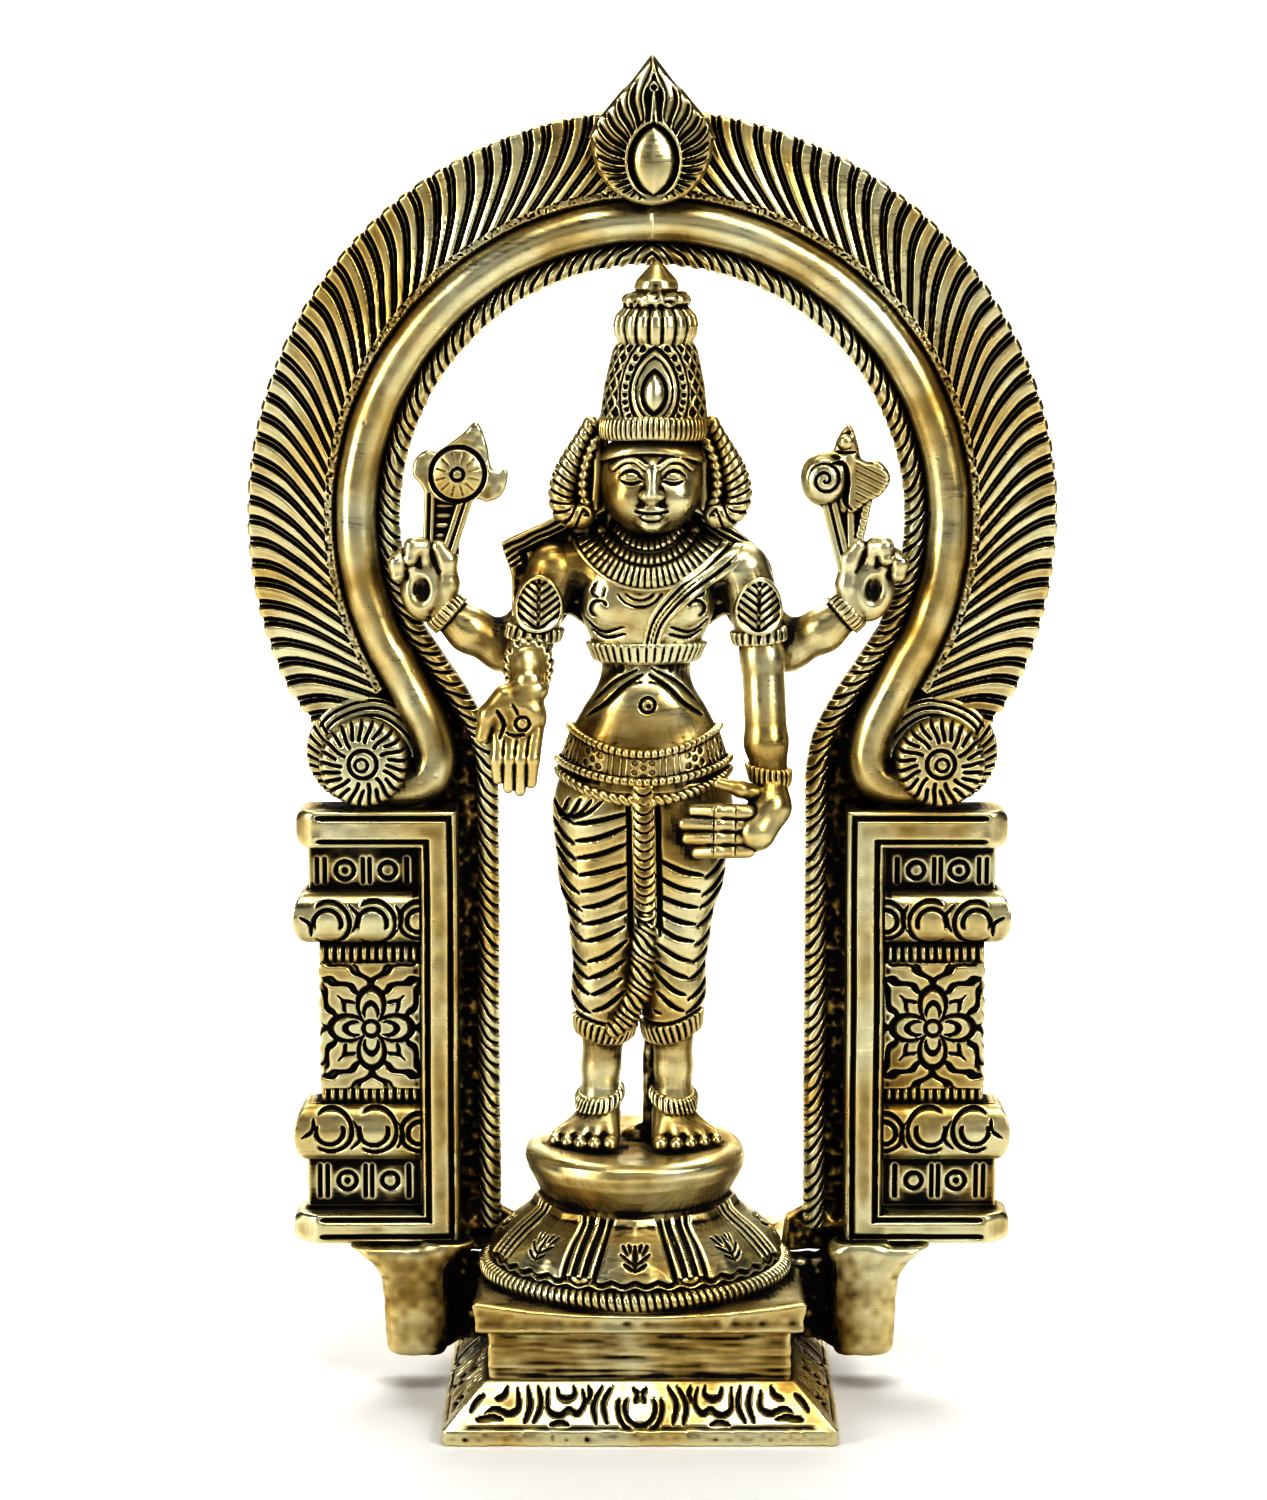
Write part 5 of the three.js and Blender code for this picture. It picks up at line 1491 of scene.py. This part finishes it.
def brass(name, bright, warm, brown, dark, soot_low, soot_high):
    """Polished metal that turns brown, then black, with the patina of its recesses and with painted shade where
    the metal around closes it in.
    """
    n = Nodes(name)
    where = n.new("ShaderNodeTexCoord").outputs["Object"]
    recess = n.new("ShaderNodeAttribute", attribute_name="recess").outputs["Fac"]
    shade = n.new("ShaderNodeAttribute", attribute_name="shade").outputs["Fac"]
    mottle = n.noise(where, 160.0, 4.0)
    patches = n.noise(where, 42.0, 3.0)
    grain = n.noise(where, 1100.0, 4.0)
    stretched = n.new("ShaderNodeMapping", {"Vector": where, "Scale": (160.0, 300.0, 1900.0)}).outputs[0]
    brushed = n.noise(stretched, 1.0, 5.0)
    # Patina in the recesses, painted shade from the shade attribute, and random mottling.
    patina_and_shade = n.math("ADD", recess, n.math("MULTIPLY", shade, 0.6))
    patina_and_shade = n.math("ADD", patina_and_shade, n.math("MULTIPLY", n.math("SUBTRACT", mottle, 0.5), 1.1))
    black = n.span(patina_and_shade, soot_low, soot_high)
    # Brown tarnish in random patches, partly painted shade where the metal is half closed in.
    dull = n.math("ADD", patina_and_shade, n.math("MULTIPLY", n.math("SUBTRACT", patches, 0.5), 2.0))
    tarnish_and_shade = n.span(dull, soot_low - 0.75, soot_high - 0.1)
    tint = n.blend(n.span(patches, 0.35, 0.7), bright, warm)
    # The tint browned by tarnish and by painted shade.
    worn = n.blend(n.math("MULTIPLY", tarnish_and_shade, 0.85), tint, brown)
    final = n.blend(black, worn, dark)
    n.tree.links.new(final, n.shader.inputs["Base Color"])
    n.tree.links.new(n.span(black, 0.2, 1.0, 1.0, 0.4), n.shader.inputs["Metallic"])
    polish = n.math("ADD", n.math("MULTIPLY", brushed, 0.5), n.math("MULTIPLY", mottle, 0.5))
    polish = n.span(polish, 0.3, 0.7, SMOOTHEST, ROUGHEST)
    wear = n.math("ADD", n.math("MULTIPLY", black, 0.28), n.math("MULTIPLY", tarnish_and_shade, 0.1))
    n.tree.links.new(n.math("ADD", polish, wear), n.shader.inputs["Roughness"])
    pits = n.new("ShaderNodeTexVoronoi", {"Vector": where, "Scale": 420.0}).outputs["Distance"]
    sparse = n.span(n.noise(where, 210.0, 2.0), 0.60, 0.68)
    pit = n.math("MULTIPLY", n.span(pits, 0.05, 0.3, 1.0, 0.0), sparse)
    height = n.math("SUBTRACT", n.math("MULTIPLY", brushed, 0.35), pit)
    height = n.math("ADD", height, n.math("MULTIPLY", grain, 0.35))
    height = n.math("ADD", height, n.math("MULTIPLY", mottle, 0.5))
    bump = n.new("ShaderNodeBump", {"Strength": 0.6, "Distance": BUMP_HEIGHT, "Height": height})
    n.tree.links.new(bump.outputs[0], n.shader.inputs["Normal"])
    return n.material


# Near-black of the patina in recesses and of the painted shade.
BLACK_PATINA_AND_SHADE = (0.008, 0.006, 0.004)
STEEL_BLACK_PATINA_AND_SHADE = (0.03, 0.03, 0.03)
BRASS = ((0.79, 0.755, 0.53), (0.76, 0.61, 0.28), (0.30, 0.20, 0.045), BLACK_PATINA_AND_SHADE)
# A darker copy of the brass: painted shade for the web behind the mouldings.
SHADED = ((0.6, 0.44, 0.16), (0.5, 0.34, 0.1), (0.2, 0.13, 0.04), BLACK_PATINA_AND_SHADE)
STEEL = ((0.55, 0.55, 0.53), (0.45, 0.45, 0.43), (0.3, 0.3, 0.29), STEEL_BLACK_PATINA_AND_SHADE)
MATERIALS = {
    "brass": brass("antique_brass", *BRASS, 0.31, 0.78),
    "shaded_brass": brass("shaded_brass", *SHADED, 0.3, 1.3),
    "steel": brass("dull_steel", *STEEL, 0.8, 1.5),
}
for piece, *_ in CASTS:
    piece.data.materials.append(MATERIALS[piece["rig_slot"]])


# ---- stage ----
AIM_Z = 0.14  # height that the camera and the lights look at


def plane(name, corners, material):
    mesh = bpy.data.meshes.new(name)
    mesh.from_pydata(corners, [], [(0, 1, 2, 3)])
    mesh.materials.append(material)
    obj = bpy.data.objects.new(name, mesh)
    scene.collection.objects.link(obj)


paper = Nodes("white_paper")
paper.shader.inputs["Base Color"].default_value = (0.93, 0.93, 0.93, 1)
paper.shader.inputs["Roughness"].default_value = 0.9
plane("floor", [(-2.5, -2, 0), (2.5, -2, 0), (2.5, 2.2, 0), (-2.5, 2.2, 0)], paper.material)
plane("backdrop", [(-1.3, 2.1, 0), (1.3, 2.1, 0), (1.3, 2.1, 1.2), (-1.3, 2.1, 1.2)], paper.material)


def softbox(name, place, target, width, height, glow):
    """An area light of the given radiance."""
    light = bpy.data.lights.new(name, "AREA")
    light.shape = "RECTANGLE"
    light.size, light.size_y = width, height
    light.energy = glow * math.pi * width * height
    obj = bpy.data.objects.new(name, light)
    obj.location = place
    obj.rotation_euler = (Vector(target) - Vector(place)).to_track_quat("-Z", "Y").to_euler()
    scene.collection.objects.link(obj)


middle = (0, 0, AIM_Z)
softbox("key", (0.8, -0.8, 0.8), middle, 0.42, 0.8, 7.5)
softbox("fill", (-0.95, -0.6, 0.5), middle, 0.42, 0.8, 6.0)
softbox("top", (0, -0.35, 1.1), middle, 0.6, 0.4, 4.6)
softbox("front_card", (0, -1.6, 0.6), middle, 1.3, 0.7, 0.6)
softbox("backdrop_light", (0, 1.0, 1.5), (0, 2.1, 0.4), 1.6, 0.6, 4.5)
softbox("backdrop_wash", (0, 1.25, 1.7), (0, 1.45, 0), 2.0, 1.4, 3.6)

world = bpy.data.worlds.new("studio")
world.use_nodes = True
world.node_tree.nodes["Background"].inputs["Color"].default_value = (1, 1, 1, 1)
world.node_tree.nodes["Background"].inputs["Strength"].default_value = 0.03
scene.world = world
scene.view_settings.view_transform = "Standard"
scene.view_settings.gamma = 0.58
scene.view_settings.exposure = 0.28


# ---- camera ----
PITCH = math.radians(8.8)
DISTANCE = 0.8
SENSOR = 36.0  # height in millimetres, like the focal length
FOCAL = 92.65
SHIFT_X, SHIFT_Y = -0.0123, -0.0110
lens = bpy.data.cameras.new("camera")
lens.sensor_fit = "VERTICAL"
lens.sensor_height = SENSOR
lens.lens = FOCAL
lens.shift_x, lens.shift_y = SHIFT_X, SHIFT_Y
camera = bpy.data.objects.new("camera", lens)
camera.location = (0, -DISTANCE * math.cos(PITCH), AIM_Z + DISTANCE * math.sin(PITCH))
camera.rotation_euler = (math.pi / 2 - PITCH, 0, 0)
scene.collection.objects.link(camera)
scene.camera = camera
